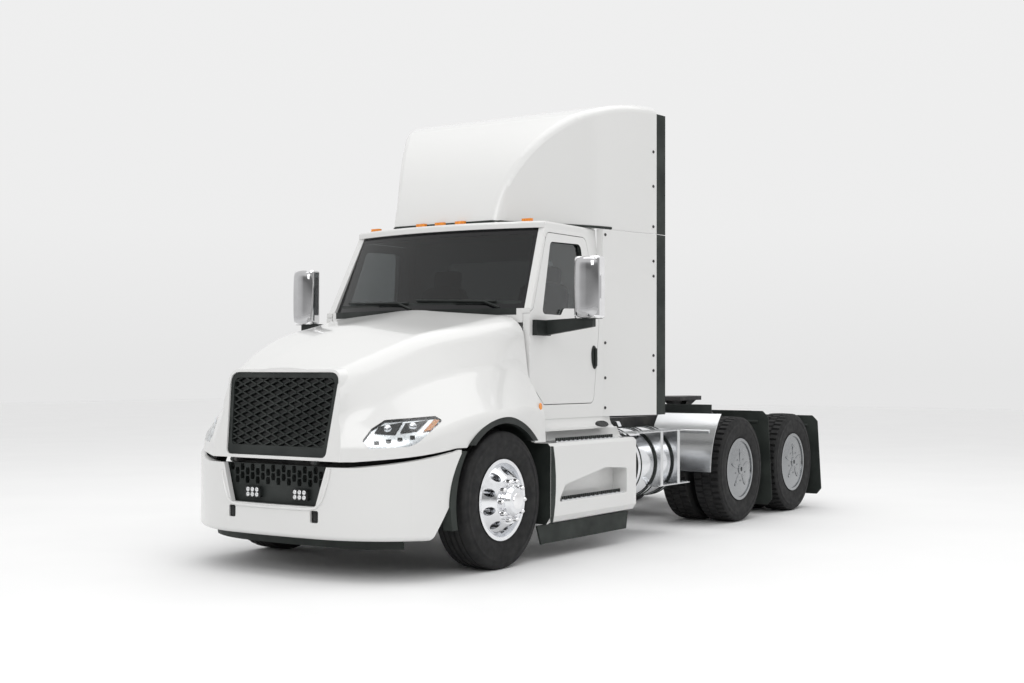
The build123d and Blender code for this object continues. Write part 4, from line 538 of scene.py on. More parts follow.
def make_tyres():
    """Replace every tyre by one with its tread."""
    for word in SIDES:
        form = Form()
        tyre_form(form, joint_at[f"steer_wheel_{word}_spin"], steer_depth, STEER_STEPS)
        form.make(f"steer_tread_{word}", TYRE, f"steer_wheel_{word}", smooth=40,
                  replaces=(f"steer_tyre_{word}",))
        for number in (1, 2):
            body = f"drive_wheels_{number}_{word}"
            node = f"drive_tyres_{number}_{word}"
            low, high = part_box(node)
            form = Form()
            middle = joint_at[f"{body}_spin"]
            for y in (low.y + WALL_HALF, high.y - WALL_HALF):
                tyre_form(form, Vector((middle.x, y, middle.z)), drive_depth, DRIVE_STEPS)
            form.make(f"drive_tread_{number}_{word}", TYRE, body, smooth=40, replaces=(node,))


# Wheel fittings, with profiles as radius and distance outwards

NUTS = 10
NUT_CIRCLE = 0.1429
NUT = ((0.0205, -0.004), (0.0215, 0.004), (0.019, 0.010), (0.0175, 0.028), (0.0125, 0.042), (0.004, 0.048))
STEER_FACE = 0.192
STEER_RING = ((0.108, 0.0), (0.118, 0.0), (0.117, 0.012), (0.108, 0.012))
STEER_CAP = ((0.060, 0.0), (0.058, 0.004), (0.040, 0.006), (0.010, 0.007))
STEER_CAP_OUT = 0.067
COVER_FLUTES = 5
FLUTE_AT = 0.125
FLUTE_SUNK = 0.004
FLUTE_SIZE = (0.020, 0.070, 0.008)       # half width, half length, height
HUB_RING = ((0.020, -0.003), (0.050, -0.003), (0.048, 0.006), (0.036, 0.011), (0.022, 0.010))
HUB_EYE = ((0.020, -0.002), (0.020, 0.003), (0.016, 0.004))
COVER_BOLT = ((0.010, -0.004), (0.010, 0.003), (0.007, 0.006), (0.002, 0.007))
COVER_BOLT_AT = 0.11
COVER_BOLT_SUNK = 0.002


def make_steer_nuts(word, outward):
    """Nut covers, hub ring and cap on a steer wheel."""
    body = f"steer_wheel_{word}"
    middle = joint_at[f"{body}_spin"] + outward * STEER_FACE
    form = Form()
    for nut in range(NUTS):
        place = middle + spoke(2 * pi * (nut + 0.5) / NUTS) * NUT_CIRCLE
        form.lathe(place, outward, NUT, segments=16)
    form.ring(middle, outward, STEER_RING, segments=48)
    form.lathe(middle + outward * STEER_CAP_OUT, outward, STEER_CAP, segments=32)
    form.make(f"steer_wheel_nuts_{word}", CHROME, body)


def make_cover_detail(word, outward):
    """Flutes, bolts, a ring and an eye on the cover of a pair of drive wheels."""
    body = f"drive_wheels_{word}"
    centre = joint_at[f"{body}_spin"]
    low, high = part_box(body)
    reach = (high.y if outward.y > 0 else -low.y) - abs(centre.y)
    middle = centre + outward * reach
    form = Form()
    form.ring(middle, outward, HUB_RING, segments=40)
    for index in range(COVER_FLUTES):
        angle = 2 * pi * index / COVER_FLUTES
        radial = spoke(angle)
        form.oval(middle + radial * FLUTE_AT - outward * FLUTE_SUNK, outward, radial, *FLUTE_SIZE)
        between = spoke(angle + pi / COVER_FLUTES)
        place = middle + between * COVER_BOLT_AT - outward * COVER_BOLT_SUNK
        form.lathe(place, outward, COVER_BOLT, segments=12)
    form.make(f"drive_cover_detail_{word}", COVER, body)
    eye = Form()
    eye.lathe(middle, outward, HUB_EYE, segments=24)
    eye.make(f"drive_hub_eye_{word}", PLASTIC, body)


def make_wheel_fittings():
    """Fittings on the steer wheels and on the drive wheels' covers."""
    for word, side in SIDES.items():
        outward = Vector((0, side, 0))
        make_steer_nuts(word, outward)
        for number in (1, 2):
            make_cover_detail(f"{number}_{word}", outward)


# Headlamps

LAMP_OUT = cos(radians(45))
LAMP_CENTRE = (0.930, 0.900)     # ahead of the steer axle, from the centre line
LAMP_FACING = 0.35
LAMP_CUTS = 3
WELD = 1e-5
LENS_THICK = 0.003
LENS_RIM = 0.007
LENS_SUNK = 0.001
HOUSING_DEPTH = 0.020
CHAMBER_DEPTH = 0.014
BULB_DEPTH = 0.016
AMBER_DEPTH = 0.012
# Four corners each, as distance across the lamp and height
CHAMBERS = (
    ((-0.148, 1.012), (-0.112, 1.060), (0.055, 1.090), (-0.005, 1.006)),
    ((0.028, 1.016), (0.071, 1.083), (0.233, 1.102), (0.150, 1.032)),
)
AMBER_PATCH = ((0.190, 1.028), (0.276, 1.107), (0.318, 1.102), (0.246, 1.036))
LED_MIDDLES = ((-0.133, 0.950), (-0.052, 0.962), (0.026, 0.974), (0.112, 0.988))
LED_HALF = (0.017, 0.012)
BULB = ((0.030, 0.0), (0.028, 0.006), (0.020, 0.012), (0.006, 0.015))


class Lamp:
    """Outer faces of one headlamp in small squares, and places on them."""

    def __init__(self, side):
        self.out = Vector((LAMP_OUT, side * LAMP_OUT, 0))
        self.along = Vector((-LAMP_OUT, side * LAMP_OUT, 0))
        self.middle = Vector((X_STEER + LAMP_CENTRE[0], side * LAMP_CENTRE[1], 0))
        skin = bmesh.new()
        skin.from_mesh(nodes["headlamps"].data)
        bmesh.ops.remove_doubles(skin, verts=skin.verts[:], dist=WELD)
        skin.normal_update()
        unwanted = [face for face in skin.faces
                    if face.normal.dot(self.out) < LAMP_FACING or face.calc_center_median().y * side < 0]
        bmesh.ops.delete(skin, geom=unwanted, context="FACES")
        bmesh.ops.subdivide_edges(skin, edges=skin.edges[:], cuts=LAMP_CUTS, use_grid_fill=True)
        skin.normal_update()
        self.skin = skin
        self.tree = BVHTree.FromBMesh(skin)

    def shifted(self, depth):
        """Copy of the skin moved along its own normals."""
        copy = self.skin.copy()
        copy.normal_update()
        shifts = [vert.normal * depth for vert in copy.verts]
        for vert, shift in zip(copy.verts, shifts):
            vert.co += shift
        return copy

    def at(self, across, height, depth):
        """Point a little behind the skin, from its place across the lamp and its height."""
        origin = self.middle + self.along * across + self.out + Vector((0, 0, height))
        point = self.tree.ray_cast(origin, -self.out)[0]
        return (point or origin - self.out) - self.out * depth

    def patch(self, form, corners, depth, steps=8):
        """Four-cornered patch laid along the skin."""
        rows = []
        for i in range(steps + 1):
            row = []
            for j in range(steps + 1):
                u, v = i / steps, j / steps
                weights = ((1 - u) * (1 - v), (1 - u) * v, u * v, u * (1 - v))
                across = sum(weight * corner[0] for weight, corner in zip(weights, corners))
                height = sum(weight * corner[1] for weight, corner in zip(weights, corners))
                row.append(self.at(across, height, depth))
            rows.append(row)
        form.grid(rows)


def lamp_piece(name, shell, material):
    """Piece on the hood from a shell whose second finish is black."""
    bmesh.ops.recalc_face_normals(shell, faces=shell.faces[:])
    mesh = bpy.data.meshes.new(name)
    shell.to_mesh(mesh)
    return place_piece(name, mesh, (material, GLOSS_BLACK), "hood", smooth=40)


def make_housing(word, lamp):
    """Silvered housing with dark walls up to the lens."""
    housing = lamp.shifted(-HOUSING_DEPTH)
    rim = [edge for edge in housing.edges if edge.is_boundary]
    for item in bmesh.ops.extrude_edge_only(housing, edges=rim)["geom"]:
        if isinstance(item, bmesh.types.BMVert):
            item.co += lamp.out * (HOUSING_DEPTH - 2 * LENS_THICK)
        if isinstance(item, bmesh.types.BMFace):
            item.material_index = 1
    lamp_piece(f"headlamp_housing_{word}", housing, SILVER)


def make_lamp_insides(word, lamp):
    """Chambers in gloss black as painted shade for their depth, with bulbs, a row of small dark squares and an
    amber end.
    """
    chambers = Form()
    bulbs = Form()
    amber = Form()
    for corners in CHAMBERS:
        lamp.patch(chambers, corners, CHAMBER_DEPTH)
        across, height = (sum(values) / len(corners) for values in zip(*corners))
        bulbs.lathe(lamp.at(across, height, BULB_DEPTH), lamp.out, BULB, segments=28)
    wide, tall = LED_HALF
    for across, height in LED_MIDDLES:
        corners = [(across + i * wide, height + j * tall) for i, j in ((-1, -1), (-1, 1), (1, 1), (1, -1))]
        lamp.patch(chambers, corners, CHAMBER_DEPTH, steps=2)
    lamp.patch(amber, AMBER_PATCH, AMBER_DEPTH)
    # Gloss black on the chambers is painted shade that gives them depth.
    chambers.make(f"headlamp_shade_chambers_{word}", GLOSS_BLACK, "hood")
    bulbs.make(f"headlamp_bulbs_{word}", LED, "hood")
    amber.make(f"headlamp_amber_{word}", AMBER, "hood")


def make_lens(word, lamp):
    """Clear shell with a dark rim."""
    lens = lamp.shifted(-LENS_SUNK)
    rim = bmesh.ops.inset_region(lens, faces=lens.faces[:], thickness=LENS_RIM, use_even_offset=False)
    for face in rim["faces"]:
        face.material_index = 1
    for item in bmesh.ops.extrude_face_region(lens, geom=lens.faces[:], use_keep_orig=True)["geom"]:
        if isinstance(item, bmesh.types.BMVert):
            item.co -= lamp.out * LENS_THICK
    return lamp_piece(f"headlamp_lens_{word}", lens, CLEAR)


def make_headlamps():
    """Replace the solid lenses by clear shells over housings with their lights."""
    lenses = []
    for word, side in SIDES.items():
        lamp = Lamp(side)
        make_housing(word, lamp)
        make_lamp_insides(word, lamp)
        lenses.append(make_lens(word, lamp))
    for lens in lenses:
        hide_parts("headlamps")


# Fog lamps

FOG_AT = (0.225, 0.577)          # from the centre line, height
FOG_FRAME = (0.012, 0.148, 0.078)
FOG_FRAME_SUNK = 0.004
FOG_LAMP = ((0.0165, 0), (0.0165, 0.004), (0.012, 0.008), (0.004, 0.010))
FOG_LAMP_PROUD = 0.001
FOG_PITCH = (0.043, 0.035)


def make_fog_lamps():
    """Two clusters of small lamps in black frames in the bumper's mouth."""
    frames = Form()
    lamps = Form()
    for side in SIDES.values():
        y, z = side * FOG_AT[0], FOG_AT[1]
        x = from_front("bumper_grille", y, z).x
        frames.box((x - FOG_FRAME_SUNK, y, z), FOG_FRAME, bevel=0.003)
        for column in (-1, 0, 1):
            for row in (-0.5, 0.5):
                place = (x + FOG_LAMP_PROUD, y + column * FOG_PITCH[0], z + row * FOG_PITCH[1])
                lamps.lathe(place, FORWARD, FOG_LAMP, segments=20)
    frames.make("fog_lamp_frames", GLOSS_BLACK, "chassis")
    lamps.make("fog_lamps", SILVER, "chassis")


# Grille

FACE_AT = (1.176, 0.820)         # ahead of the steer axle, height
FACE_RAKE = 0.150
GRILLE_SETBACK = 0.010
# Half width and height of the lower and upper corners, then the corners' radii
GRILLE_OUTER = ((0.472, 0.844), (0.522, 1.430), 0.040, 0.085)
GRILLE_INNER = ((0.440, 0.912), (0.486, 1.392), 0.030, 0.060)
GRILLE_DEPTH = 0.024
FRAME_FRONT = 0.002
CORNER_STEPS = 8
CELL = (0.132, 0.054)
RIBS = range(-9, 20)
RIB_WIDE = 0.0085
RIB_FRONT = 0.004
RIB_STEP = 0.0045
RIB_REACH = 120
RIB_SHORTEST = 4
# Rows: growth beyond the frame, depth
BEZEL_STEPS = ((0.001, GRILLE_DEPTH), (0.002, -0.006), (0.008, -0.010), (0.022, -0.008))
BEZEL_WIDE = 0.036
BEZEL_LOW = 0.006
BEZEL_SUNK = 0.002


def face_point(y, z, depth):
    """Point on the hood's raked front, moved back by a depth."""
    return Vector((X_STEER + FACE_AT[0] - FACE_RAKE * (z - FACE_AT[1]) - GRILLE_SETBACK - depth, y, z))


def face_points(places, depth):
    return [face_point(place.x, place.y, depth) for place in places]


def rounded_frame(shape):
    """Points round a frame wider at the top, with rounded corners."""
    (low_half, low), (top_half, top), low_round, top_round = shape
    corners = ((low_half, low, low_round), (top_half, top, top_round),
               (-top_half, top, top_round), (-low_half, low, low_round))
    points = []
    for index, (y, z, radius) in enumerate(corners):
        here = Vector((y, z))
        before = (Vector(corners[index - 1][:2]) - here).normalized() * radius
        after = (Vector(corners[(index + 1) % len(corners)][:2]) - here).normalized() * radius
        for step in range(CORNER_STEPS + 1):
            share = step / CORNER_STEPS
            points.append(here + before * (1 - share) ** 2 + after * share ** 2)
    return points


def rib_line(start, slope):
    """Places inside the frame along a slanting rib."""
    (low_half, low), (top_half, top) = GRILLE_INNER[:2]
    inside = []
    for step in range(-RIB_REACH, RIB_REACH + 1):
        y = RIB_STEP * step
        z = start + slope * y
        room = low_half + (top_half - low_half) * (z - low) / (top - low)
        if low <= z <= top and abs(y) <= room:
            inside.append(Vector((y, z)))
    return inside


def rib_form(form, first, last):
    """Flat rib between two places on the grille."""
    along = last - first
    lift = Vector((-along.y, along.x)).normalized() * RIB_WIDE / 2
    rows = []
    for end in (first, last):
        above, below = end + lift, end - lift
        back = face_points((above, below), GRILLE_DEPTH)
        front = face_points((above, below), RIB_FRONT)
        rows.append([back[0], front[0], front[1], back[1]])
    form.grid(rows, close_columns=True)


def make_grille():
    """Replace the grille's plain lattice by a frame with crossed ribs over a black back sheet of painted shade."""
    outer = rounded_frame(GRILLE_OUTER)
    inner = rounded_frame(GRILLE_INNER)
    section = ((outer, GRILLE_DEPTH), (outer, FRAME_FRONT), (inner, 0.0), (inner, GRILLE_DEPTH))
    form = Form()
    form.grid([face_points(loop, depth) for loop, depth in section], close_columns=True)
    wide, tall = CELL
    foot = GRILLE_INNER[0][1]
    for slope in (tall / wide, -tall / wide):
        for index in RIBS:
            inside = rib_line(foot + index * tall, slope)
            if len(inside) >= RIB_SHORTEST:
                rib_form(form, inside[0], inside[-1])
    form.make("grille_mesh", PLASTIC, "hood", replaces=("grille",))
    # The black back sheet is painted shade for the dark space behind the ribs.
    back = Form()
    back.verts.extend(face_points(outer, GRILLE_DEPTH))
    back.cap(0, len(outer))
    back.make("grille_shade_sheet", GLOSS_BLACK, "hood", smooth=0)


def widened(shape, more):
    """Frame shape grown by the same amount all round, apart from its foot."""
    (low_half, low), (top_half, top), low_round, top_round = shape
    drop = min(more, BEZEL_LOW)
    return ((low_half + more, low - drop), (top_half + more, top + more), low_round + more, top_round + more)


def make_bezel():
    """White raised edge round the grille, running out into the hood."""
    rows = [face_points(rounded_frame(widened(GRILLE_OUTER, more)), depth) for more, depth in BEZEL_STEPS]
    last = []
    for flat in face_points(rounded_frame(widened(GRILLE_OUTER, BEZEL_WIDE)), 0.0):
        hood = from_front("hood", flat.y, flat.z)
        x = min(flat.x, hood.x - BEZEL_SUNK) if hood else flat.x - BEZEL_WIDE
        last.append(Vector((max(x, flat.x - 2 * BEZEL_WIDE), flat.y, flat.z)))
    form = Form()
    form.grid([*rows, last], close_columns=True)
    form.make("grille_bezel", PAINT, "hood")


# Sills, fairings and bumper

# Rows: from the centre line, height
SILL = ((1.022, 1.072), (1.026, 1.040), (1.040, 1.005), (1.066, 0.982), (1.095, 0.9775))
SILL_ENDS = (0.64, 1.80)
FAIRING_NOSE = 0.12
FAIRING_FACING = 0.6
LUG_TOP = FACE_AT[1] + 0.001
LUG_AHEAD = 1.1
LUG_HALF = 0.45
PLUG_AT = (0.390, 0.437)         # from the centre line, height
PLUG_BESIDE = 0.06
PLUG_SUNK = 0.012
PLUG_SIZE = (0.010, 0.068, 0.082)
VALANCE_HALF = 0.90
VALANCE_STEPS = 36
# Rows: ahead of the bumper's face, above its foot
VALANCE = ((-0.162, 0.04), (-0.150, 0.04), (-0.170, -0.070), (-0.182, -0.070))
FACE_ABOVE_FOOT = 0.06
# Rows: behind the steer axle from and to, from the centre line, height
STEP_EDGES = ((0.75, 1.66, 1.135, 0.913), (0.81, 1.76, 1.155, 0.458))
TOOTH = (0.015, 0.014, 0.026)
TOOTH_PITCH = 0.032


def add_sill(form, side):
    """White sill from the foot of the cab out to the fairing's shelf."""
    form.grid([[Vector((x, side * y, z)) for y, z in SILL] for x in SILL_ENDS])


def finish_fairings():
    """Dark front faces on the side fairings, behind the steer wheels."""
    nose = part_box("side_fairings")[1].x - FAIRING_NOSE

    def choose(face):
        return 1 if face.normal.x > FAIRING_FACING and face.center.x > nose else 0

    paint_polygons("side_fairings", (RUBBER,), choose)


def finish_hood():
    """Dark hinge lugs under the hood's front edge."""
    def choose(face):
        x, y, z = face.center
        return 1 if z < LUG_TOP and x > X_STEER + LUG_AHEAD and abs(y) < LUG_HALF else 0

    paint_polygons("hood", (PLASTIC,), choose)


def add_tow_plug(form, side):
    """Dark plug set back in a tow hole."""
    y, z = PLUG_AT
    bumper = from_front("bumper", side * (y + PLUG_BESIDE), z)
    form.box((bumper.x - PLUG_SUNK, side * y, z), PLUG_SIZE, bevel=0.002)


def make_valance():
    """Black air dam under the bumper, set back from its face; its black also paints the shade under the bumper."""
    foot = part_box("bumper")[0].z
    columns = []
    for y in spread(VALANCE_HALF, VALANCE_STEPS):
        face = from_front("bumper", y, foot + FACE_ABOVE_FOOT).x
        columns.append([Vector((face + x, y, foot + z)) for x, z in VALANCE])
    form = Form()
    form.grid(columns)
    # Its black is partly the air dam's own colour and partly painted shade under the bumper.
    form.make("bumper_valance_and_shade", RUBBER, "chassis")


def add_step_teeth(form, side):
    """Dark grip teeth along a fairing's steps."""
    for near, far, y, z in STEP_EDGES:
        for index in range(int((far - near) / TOOTH_PITCH)):
            x = X_STEER - near - (index + 0.5) * TOOTH_PITCH
            form.box((x, side * y, z), TOOTH, bevel=0.002)


# Cab fittings

HANDLE_AT = (-1.52, 1.56)        # ahead of the steer axle, height
HANDLE_PLATE = (0.044, 0.098, 0.012)
HANDLE_TILT = (0.1, 0, 1)
HANDLE_BAR = (0.034, 0.016, 0.150)
HANDLE_OUT = 0.018
# Each wiper's foot and tip, from the centre line
WIPERS = ((0.78, 0.06), (-0.02, -0.74))
WIPER_LOW = 1.985
WIPER_RISE = 0.02
WIPER_STEPS = 8
WIPER_INSET = 0.06
BLADE_OFF = Vector((0.012, 0, 0.004))
BLADE_RADIUS = 0.009
ARM_OFF = Vector((0.02, 0, 0))
ARM_FOOT = Vector((0.03, 0.05, -0.05))
ARM_RADIUS = 0.008
MIRROR_HEAD = (0.130, 0.228, 0.480)      # long, wide, tall
MIRROR_BEHIND = 0.745
MIRROR_LAP = 0.002
MIRROR_FACING = -0.95
SHELL_ROOT = 0.045
SHELL_RISE = 0.075
SHELL_PROUD = 0.0015
SHELL_STEPS = 28
SHELL_CORNER = 0.13
SHELL_POWERS = (3, 12)           # across, up
COWL_LOW = 1.880
COWL_FOOT = 1.992
COWL_HALF = 0.915
COWL_STEPS = 40
COWL_LIFT = 0.0015
COWL_INSET = 0.012
COWL_LAP = 0.008
SEAL_REACH = 0.012
SEAL_FACING = 0.3
BOLT = ((0.013, -0.001), (0.013, 0.002), (0.009, 0.003), (0.008, 0.008), (0.002, 0.0085))
# Rows: node, behind the steer axle, heights
BOLT_ROWS = (
    ("side_extenders", 2.262, (2.400, 2.270, 1.583, 1.452)),
    ("side_extenders", 1.690, (2.590, 1.683, 1.390, 1.140)),
    ("roof_fairing", 2.262, (2.700, 3.050, 3.350)),
)


def make_handles():
    """Oval black pull handles on the doors."""
    for word, side in SIDES.items():
        outward = Vector((0, side, 0))
        point = from_side(f"door_{word}", X_STEER + HANDLE_AT[0], side, HANDLE_AT[1])
        form = Form()
        form.oval(point, outward, HANDLE_TILT, *HANDLE_PLATE)
        form.box(point + outward * HANDLE_OUT, HANDLE_BAR, bevel=0.007)
        form.make(f"door_handle_{word}", PLASTIC, f"door_{word}")


def make_wipers():
    """Two wipers parked along the windscreen's foot."""
    form = Form()
    for foot, tip in WIPERS:
        blade = []
        for step in range(WIPER_STEPS + 1):
            share = step / WIPER_STEPS
            y = foot - WIPER_INSET + (tip - foot) * share
            blade.append(from_front("cab_glass", y, WIPER_LOW + WIPER_RISE * share) + BLADE_OFF)
        form.tube(blade, BLADE_RADIUS, segments=8)
        arm = (blade[0] + ARM_FOOT, blade[1] + ARM_OFF, blade[WIPER_STEPS // 2] + ARM_OFF)
        form.tube(arm, ARM_RADIUS, segments=8)
    form.make("wipers", PLASTIC, "chassis")


def finish_mirrors():
    """Bright mirror heads with silvered glass behind, on black arms."""
    for word in SIDES:
        node = f"mirror_{word}"
        head_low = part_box(node)[1].z - MIRROR_HEAD[2] + MIRROR_LAP

        def choose(face):
            if face.center.z < head_low:
                return 1
            return 2 if face.normal.x < MIRROR_FACING else 0

        nodes[node].data.materials[0] = CHROME
        paint_polygons(node, (PLASTIC, SILVERED), choose)


def shell_point(u, v):
    """Rise, place across and place up on a mirror's shell, from shares of its half width and half height."""
    wide, tall = MIRROR_HEAD[1:]
    rise = SHELL_RISE
    for share, power in zip((u, v), SHELL_POWERS):
        rise *= max(0.0, 1 - abs(share) ** power) ** 0.5
    across = u * (1 - SHELL_CORNER * v * v) ** 0.5 * (wide / 2 + SHELL_PROUD)
    up = v * (1 - SHELL_CORNER * u * u) ** 0.5 * (tall / 2 + SHELL_PROUD)
    return rise, across, up


def make_mirror_shells():
    """Rounded bright shells over the fronts of the mirror heads."""
    long, wide, tall = MIRROR_HEAD
    shares = [sin((step / SHELL_STEPS - 0.5) * pi) for step in range(SHELL_STEPS + 1)]
    for word, side in SIDES.items():
        low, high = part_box(f"mirror_{word}")
        outer = high.y if side > 0 else low.y
        x = X_STEER - MIRROR_BEHIND + long / 2 - SHELL_ROOT
        middle = Vector((x, outer - side * wide / 2, high.z - tall / 2))
        rows = []
        for v in shares:
            row = []
            for u in shares:
                rise, across, up = shell_point(u, v)
                row.append(middle + Vector((rise, side * across, up)))
            rows.append(row)
        form = Form()
        form.grid(rows)
        form.make(f"mirror_shell_{word}", SHELL, f"door_{word}", smooth=60)


def make_cowl_strip():
    """Black strip over the cowl's ledge at the foot of the windscreen."""
    columns = []
    for y in spread(COWL_HALF, COWL_STEPS):
        front = from_front("cab_cowl", y, COWL_LOW).x + COWL_LIFT
        ledge = from_above("cab_cowl", front - COWL_INSET, y).z + COWL_LIFT
        upper = from_front("cab_glass", y, COWL_FOOT).x + COWL_LIFT
        lower = from_front("cab_glass", y, ledge + COWL_LAP).x + COWL_LIFT
        section = ((upper, COWL_FOOT), (lower, ledge), (front, ledge), (front, COWL_LOW))
        columns.append([Vector((x, y, z)) for x, z in section])
    form = Form()
    form.grid(columns)
    form.make("cowl_strip", PLASTIC, "chassis")


def finish_doors():
    """Dark seals on the walls of the doors' windows."""
    for word in SIDES:
        low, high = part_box(f"door_glass_{word}")

        def choose(face):
            x, z = face.center.x, face.center.z
            in_length = low.x - SEAL_REACH < x < high.x + SEAL_REACH
            in_height = low.z - SEAL_REACH < z < high.z + SEAL_REACH
            return 1 if in_length and in_height and abs(face.normal.y) < SEAL_FACING else 0

        paint_polygons(f"door_{word}", (RUBBER,), choose)


def finish_lamps():
    """Red tail lamps among the amber markers."""
    paint_polygons("marker_lamps", (RED,), lambda face: 1 if face.center.x < 0 else 0)


def add_bolts(form, side):
    """Bolt heads down the edges of a side extender and the roof fairing."""
    for node, behind, heights in BOLT_ROWS:
        for z in heights:
            point, normal = surface_at(node, (X_STEER - behind, side * RAY_ASIDE, z), (0, -side, 0))
            if point:
                form.lathe(point, normal if normal.y * side > 0 else -normal, BOLT, segments=16)


# Outer trim

TANK_AT = (0.825, 0.640)         # from the centre line, height
TANK_STRAPS = (2.110, 2.440, 2.760)      # behind the steer axle
STRAP_HALF = 0.033
STRAP_EDGE = ((0.3085, -0.005), (0.3175, -0.004), (0.3175, 0.004), (0.3085, 0.005))
FLAP_AT = (-3.462, 0.92, 1.088)          # ahead of the steer axle, from the centre line, height
FLAP_SIZE = (0.008, 0.50, 0.095)
MARKER_AT = (-0.525, 1.172)              # ahead of the steer axle, height
MARKER_SIZE = (0.016, 0.030, 0.010)
SILL_COVER_AT = (0.80, 1.041, 1.006)
SILL_COVER_LEAN = (0.80, 0.60)           # outwards, upwards
SILL_COVER = (0.034, 0.105, 0.008)
FILLER_AT = (-1.60, 0.93)                # ahead of the steer axle, from the centre line
FILLER_WELL = (0.060, 0.105, 0.007)
FILLER_RING = ((0.030, 0), (0.044, 0), (0.042, 0.008), (0.032, 0.008))
# Rows: from the centre line, height
MOUTH_TRIM = ((0.518, 0.770), (0.500, 0.680), (0.470, 0.590), (0.440, 0.530), (0.400, 0.497),
              (0.340, 0.488), (0.0, 0.486))
MOUTH_STEP = 0.03
MOUTH_AHEAD = 1.05
MOUTH_PROUD = Vector((0.003, 0, 0))
TRIM_RADIUS = 0.011
SEAL_CENTRE = (-1.6, 2.652)              # ahead of the steer axle, height
SEAL_RAY = 3
SEAL_DEGREES = range(-100, 101, 4)
# Rows: ahead of the steer axle, height
ARCH_STRIP = ((-0.606, 0.870), (-0.640, 0.868), (-0.664, 0.760), (-0.676, 0.640), (-0.676, 0.540),
              (-0.668, 0.430), (-0.650, 0.340), (-0.634, 0.285), (-0.606, 0.285))
STRIP_SUNK = 0.004
STRIP_THICK = 0.006
GUARD_RIBS = (0.76, 0.90, 1.04)          # from the centre line
GUARD_RIB = (0.012, 0.05, 0.56)
GUARD_RIB_HEIGHT = 0.55
BETWEEN_GUARDS = -3.1
AHEAD_OF_GUARDS = -2.0


def add_tank_bands(form, side):
    """Dark rubber edges beside a tank's straps."""
    for station in TANK_STRAPS:
        for shift in (-STRAP_HALF, STRAP_HALF):
            place = (X_STEER - station + shift, side * TANK_AT[0], TANK_AT[1])
            form.ring(place, FORWARD, STRAP_EDGE, segments=64)


def add_flap(form, side):
    """Blank black flap above a quarter fender."""
    x, y, z = FLAP_AT
    form.box((X_STEER + x, side * y, z), FLAP_SIZE, bevel=0.002)


def add_side_marker(form, side):
    """Small amber lamp on a fender's tail."""
    point = from_side("hood", X_STEER + MARKER_AT[0], side, MARKER_AT[1])
    form.oval(point, (0, side, 0), UP, *MARKER_SIZE)


def add_fillers(form, side):
    """Black oval filler well on a fairing's shelf and a cover on the sill's rear end."""
    x, y, z = SILL_COVER_AT
    outward, upward = SILL_COVER_LEAN
    form.oval((x, side * y, z), (0, side * outward, upward), FORWARD, *SILL_COVER)
    point = from_above("side_fairings", X_STEER + FILLER_AT[0], side * FILLER_AT[1])
    form.oval(point, UP, FORWARD, *FILLER_WELL)
    form.ring(point + UP * FILLER_WELL[2], UP, FILLER_RING, segments=32)


def make_mouth_trim():
    """White moulding round the lower grille's opening."""
    corners = [*MOUTH_TRIM, *((-y, z) for y, z in reversed(MOUTH_TRIM[:-1]))]
    path = []
    for (y0, z0), (y1, z1) in zip(corners, corners[1:]):
        steps = max(2, int(abs(y1 - y0) / MOUTH_STEP))
        for step in range(steps):
            share = step / steps
            point = from_front("bumper", y0 + (y1 - y0) * share, z0 + (z1 - z0) * share)
            if point and point.x > X_STEER + MOUTH_AHEAD:
                path.append(point + MOUTH_PROUD)
    form = Form()
    form.tube(path, TRIM_RADIUS, segments=10)
    form.make("mouth_trim", PAINT, "chassis")


def make_roof_seal():
    """Black seal round the foot of the roof fairing."""
    centre = Vector((X_STEER + SEAL_CENTRE[0], 0, SEAL_CENTRE[1]))
    path = []
    for degrees in SEAL_DEGREES:
        out = Vector((cos(radians(degrees)), sin(radians(degrees)), 0))
        point = surface_at("roof_fairing", centre + out * SEAL_RAY, -out)[0]
        if point:
            path.append(point)
    form = Form()
    form.tube(path, TRIM_RADIUS, segments=8)
    form.make("roof_seal", RUBBER, "chassis")


def add_arch_strip(form, side):
    """Dark strip on a side fairing's front edge, behind the steer wheel."""
    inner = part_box("side_fairings")[1].y - STRIP_SUNK
    faces = (side * inner, side * (inner + STRIP_THICK))
    form.closed([[Vector((X_STEER + x, y, z)) for x, z in ARCH_STRIP] for y in faces])


def add_guard_ribs(form, side):
    """Pressed ribs on the faces of one side's mud guards."""
    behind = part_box("mud_guards")[0].x - 1
    for x, way in ((behind, 1), (AHEAD_OF_GUARDS, -1), (BETWEEN_GUARDS, -1)):
        for y in GUARD_RIBS:
            point = surface_at("mud_guards", (x, side * y, GUARD_RIB_HEIGHT), (way, 0, 0))[0]
            form.box(point, GUARD_RIB, bevel=0.004)


# Seats

# Rows: middle behind the seat's front edge and above its foot; long, wide, thick; lean in degrees
SEAT_PADS = (
    ((0.250, 0.370), (0.52, 0.50, 0.15), 4.0),
    ((0.505, 0.745), (0.13, 0.48, 0.66), 8.0),
    ((0.585, 1.120), (0.10, 0.27, 0.17), 8.0),
)
PEDESTAL_AT = (0.245, 0.15)
PEDESTAL = (0.37, 0.34, 0.298)
BACK_PLATE_AT = (0.575, 0.70)
BACK_PLATE = (0.03, 0.40, 0.55)
BACK_LEAN = 8.0
SEAT_HALF = 0.25
PAD_CUTS = 11
PAD_SEAM = 0.5
PAD_SWELL = 0.20
PAD_BALL = 0.18
PAD_POWER = 4


def leaned(degrees):
    """Turn that leans a seat's part backwards."""
    return Matrix.Rotation(radians(-degrees), 3, "Y")


def padded_point(unit, size):
    """Point of a cube with half size one, drawn in at its seams, rounded and brought to size."""
    swell = [1 - PAD_SEAM * max(abs(unit[j]) ** PAD_POWER for j in range(3) if j != i) for i in range(3)]
    drawn = Vector([unit[i] * (1 - PAD_SWELL + PAD_SWELL * swell[i]) for i in range(3)])
    shape = drawn * (1 - PAD_BALL) + unit.normalized() * PAD_BALL
    return Vector([shape[i] * size[i] / 2 for i in range(3)])


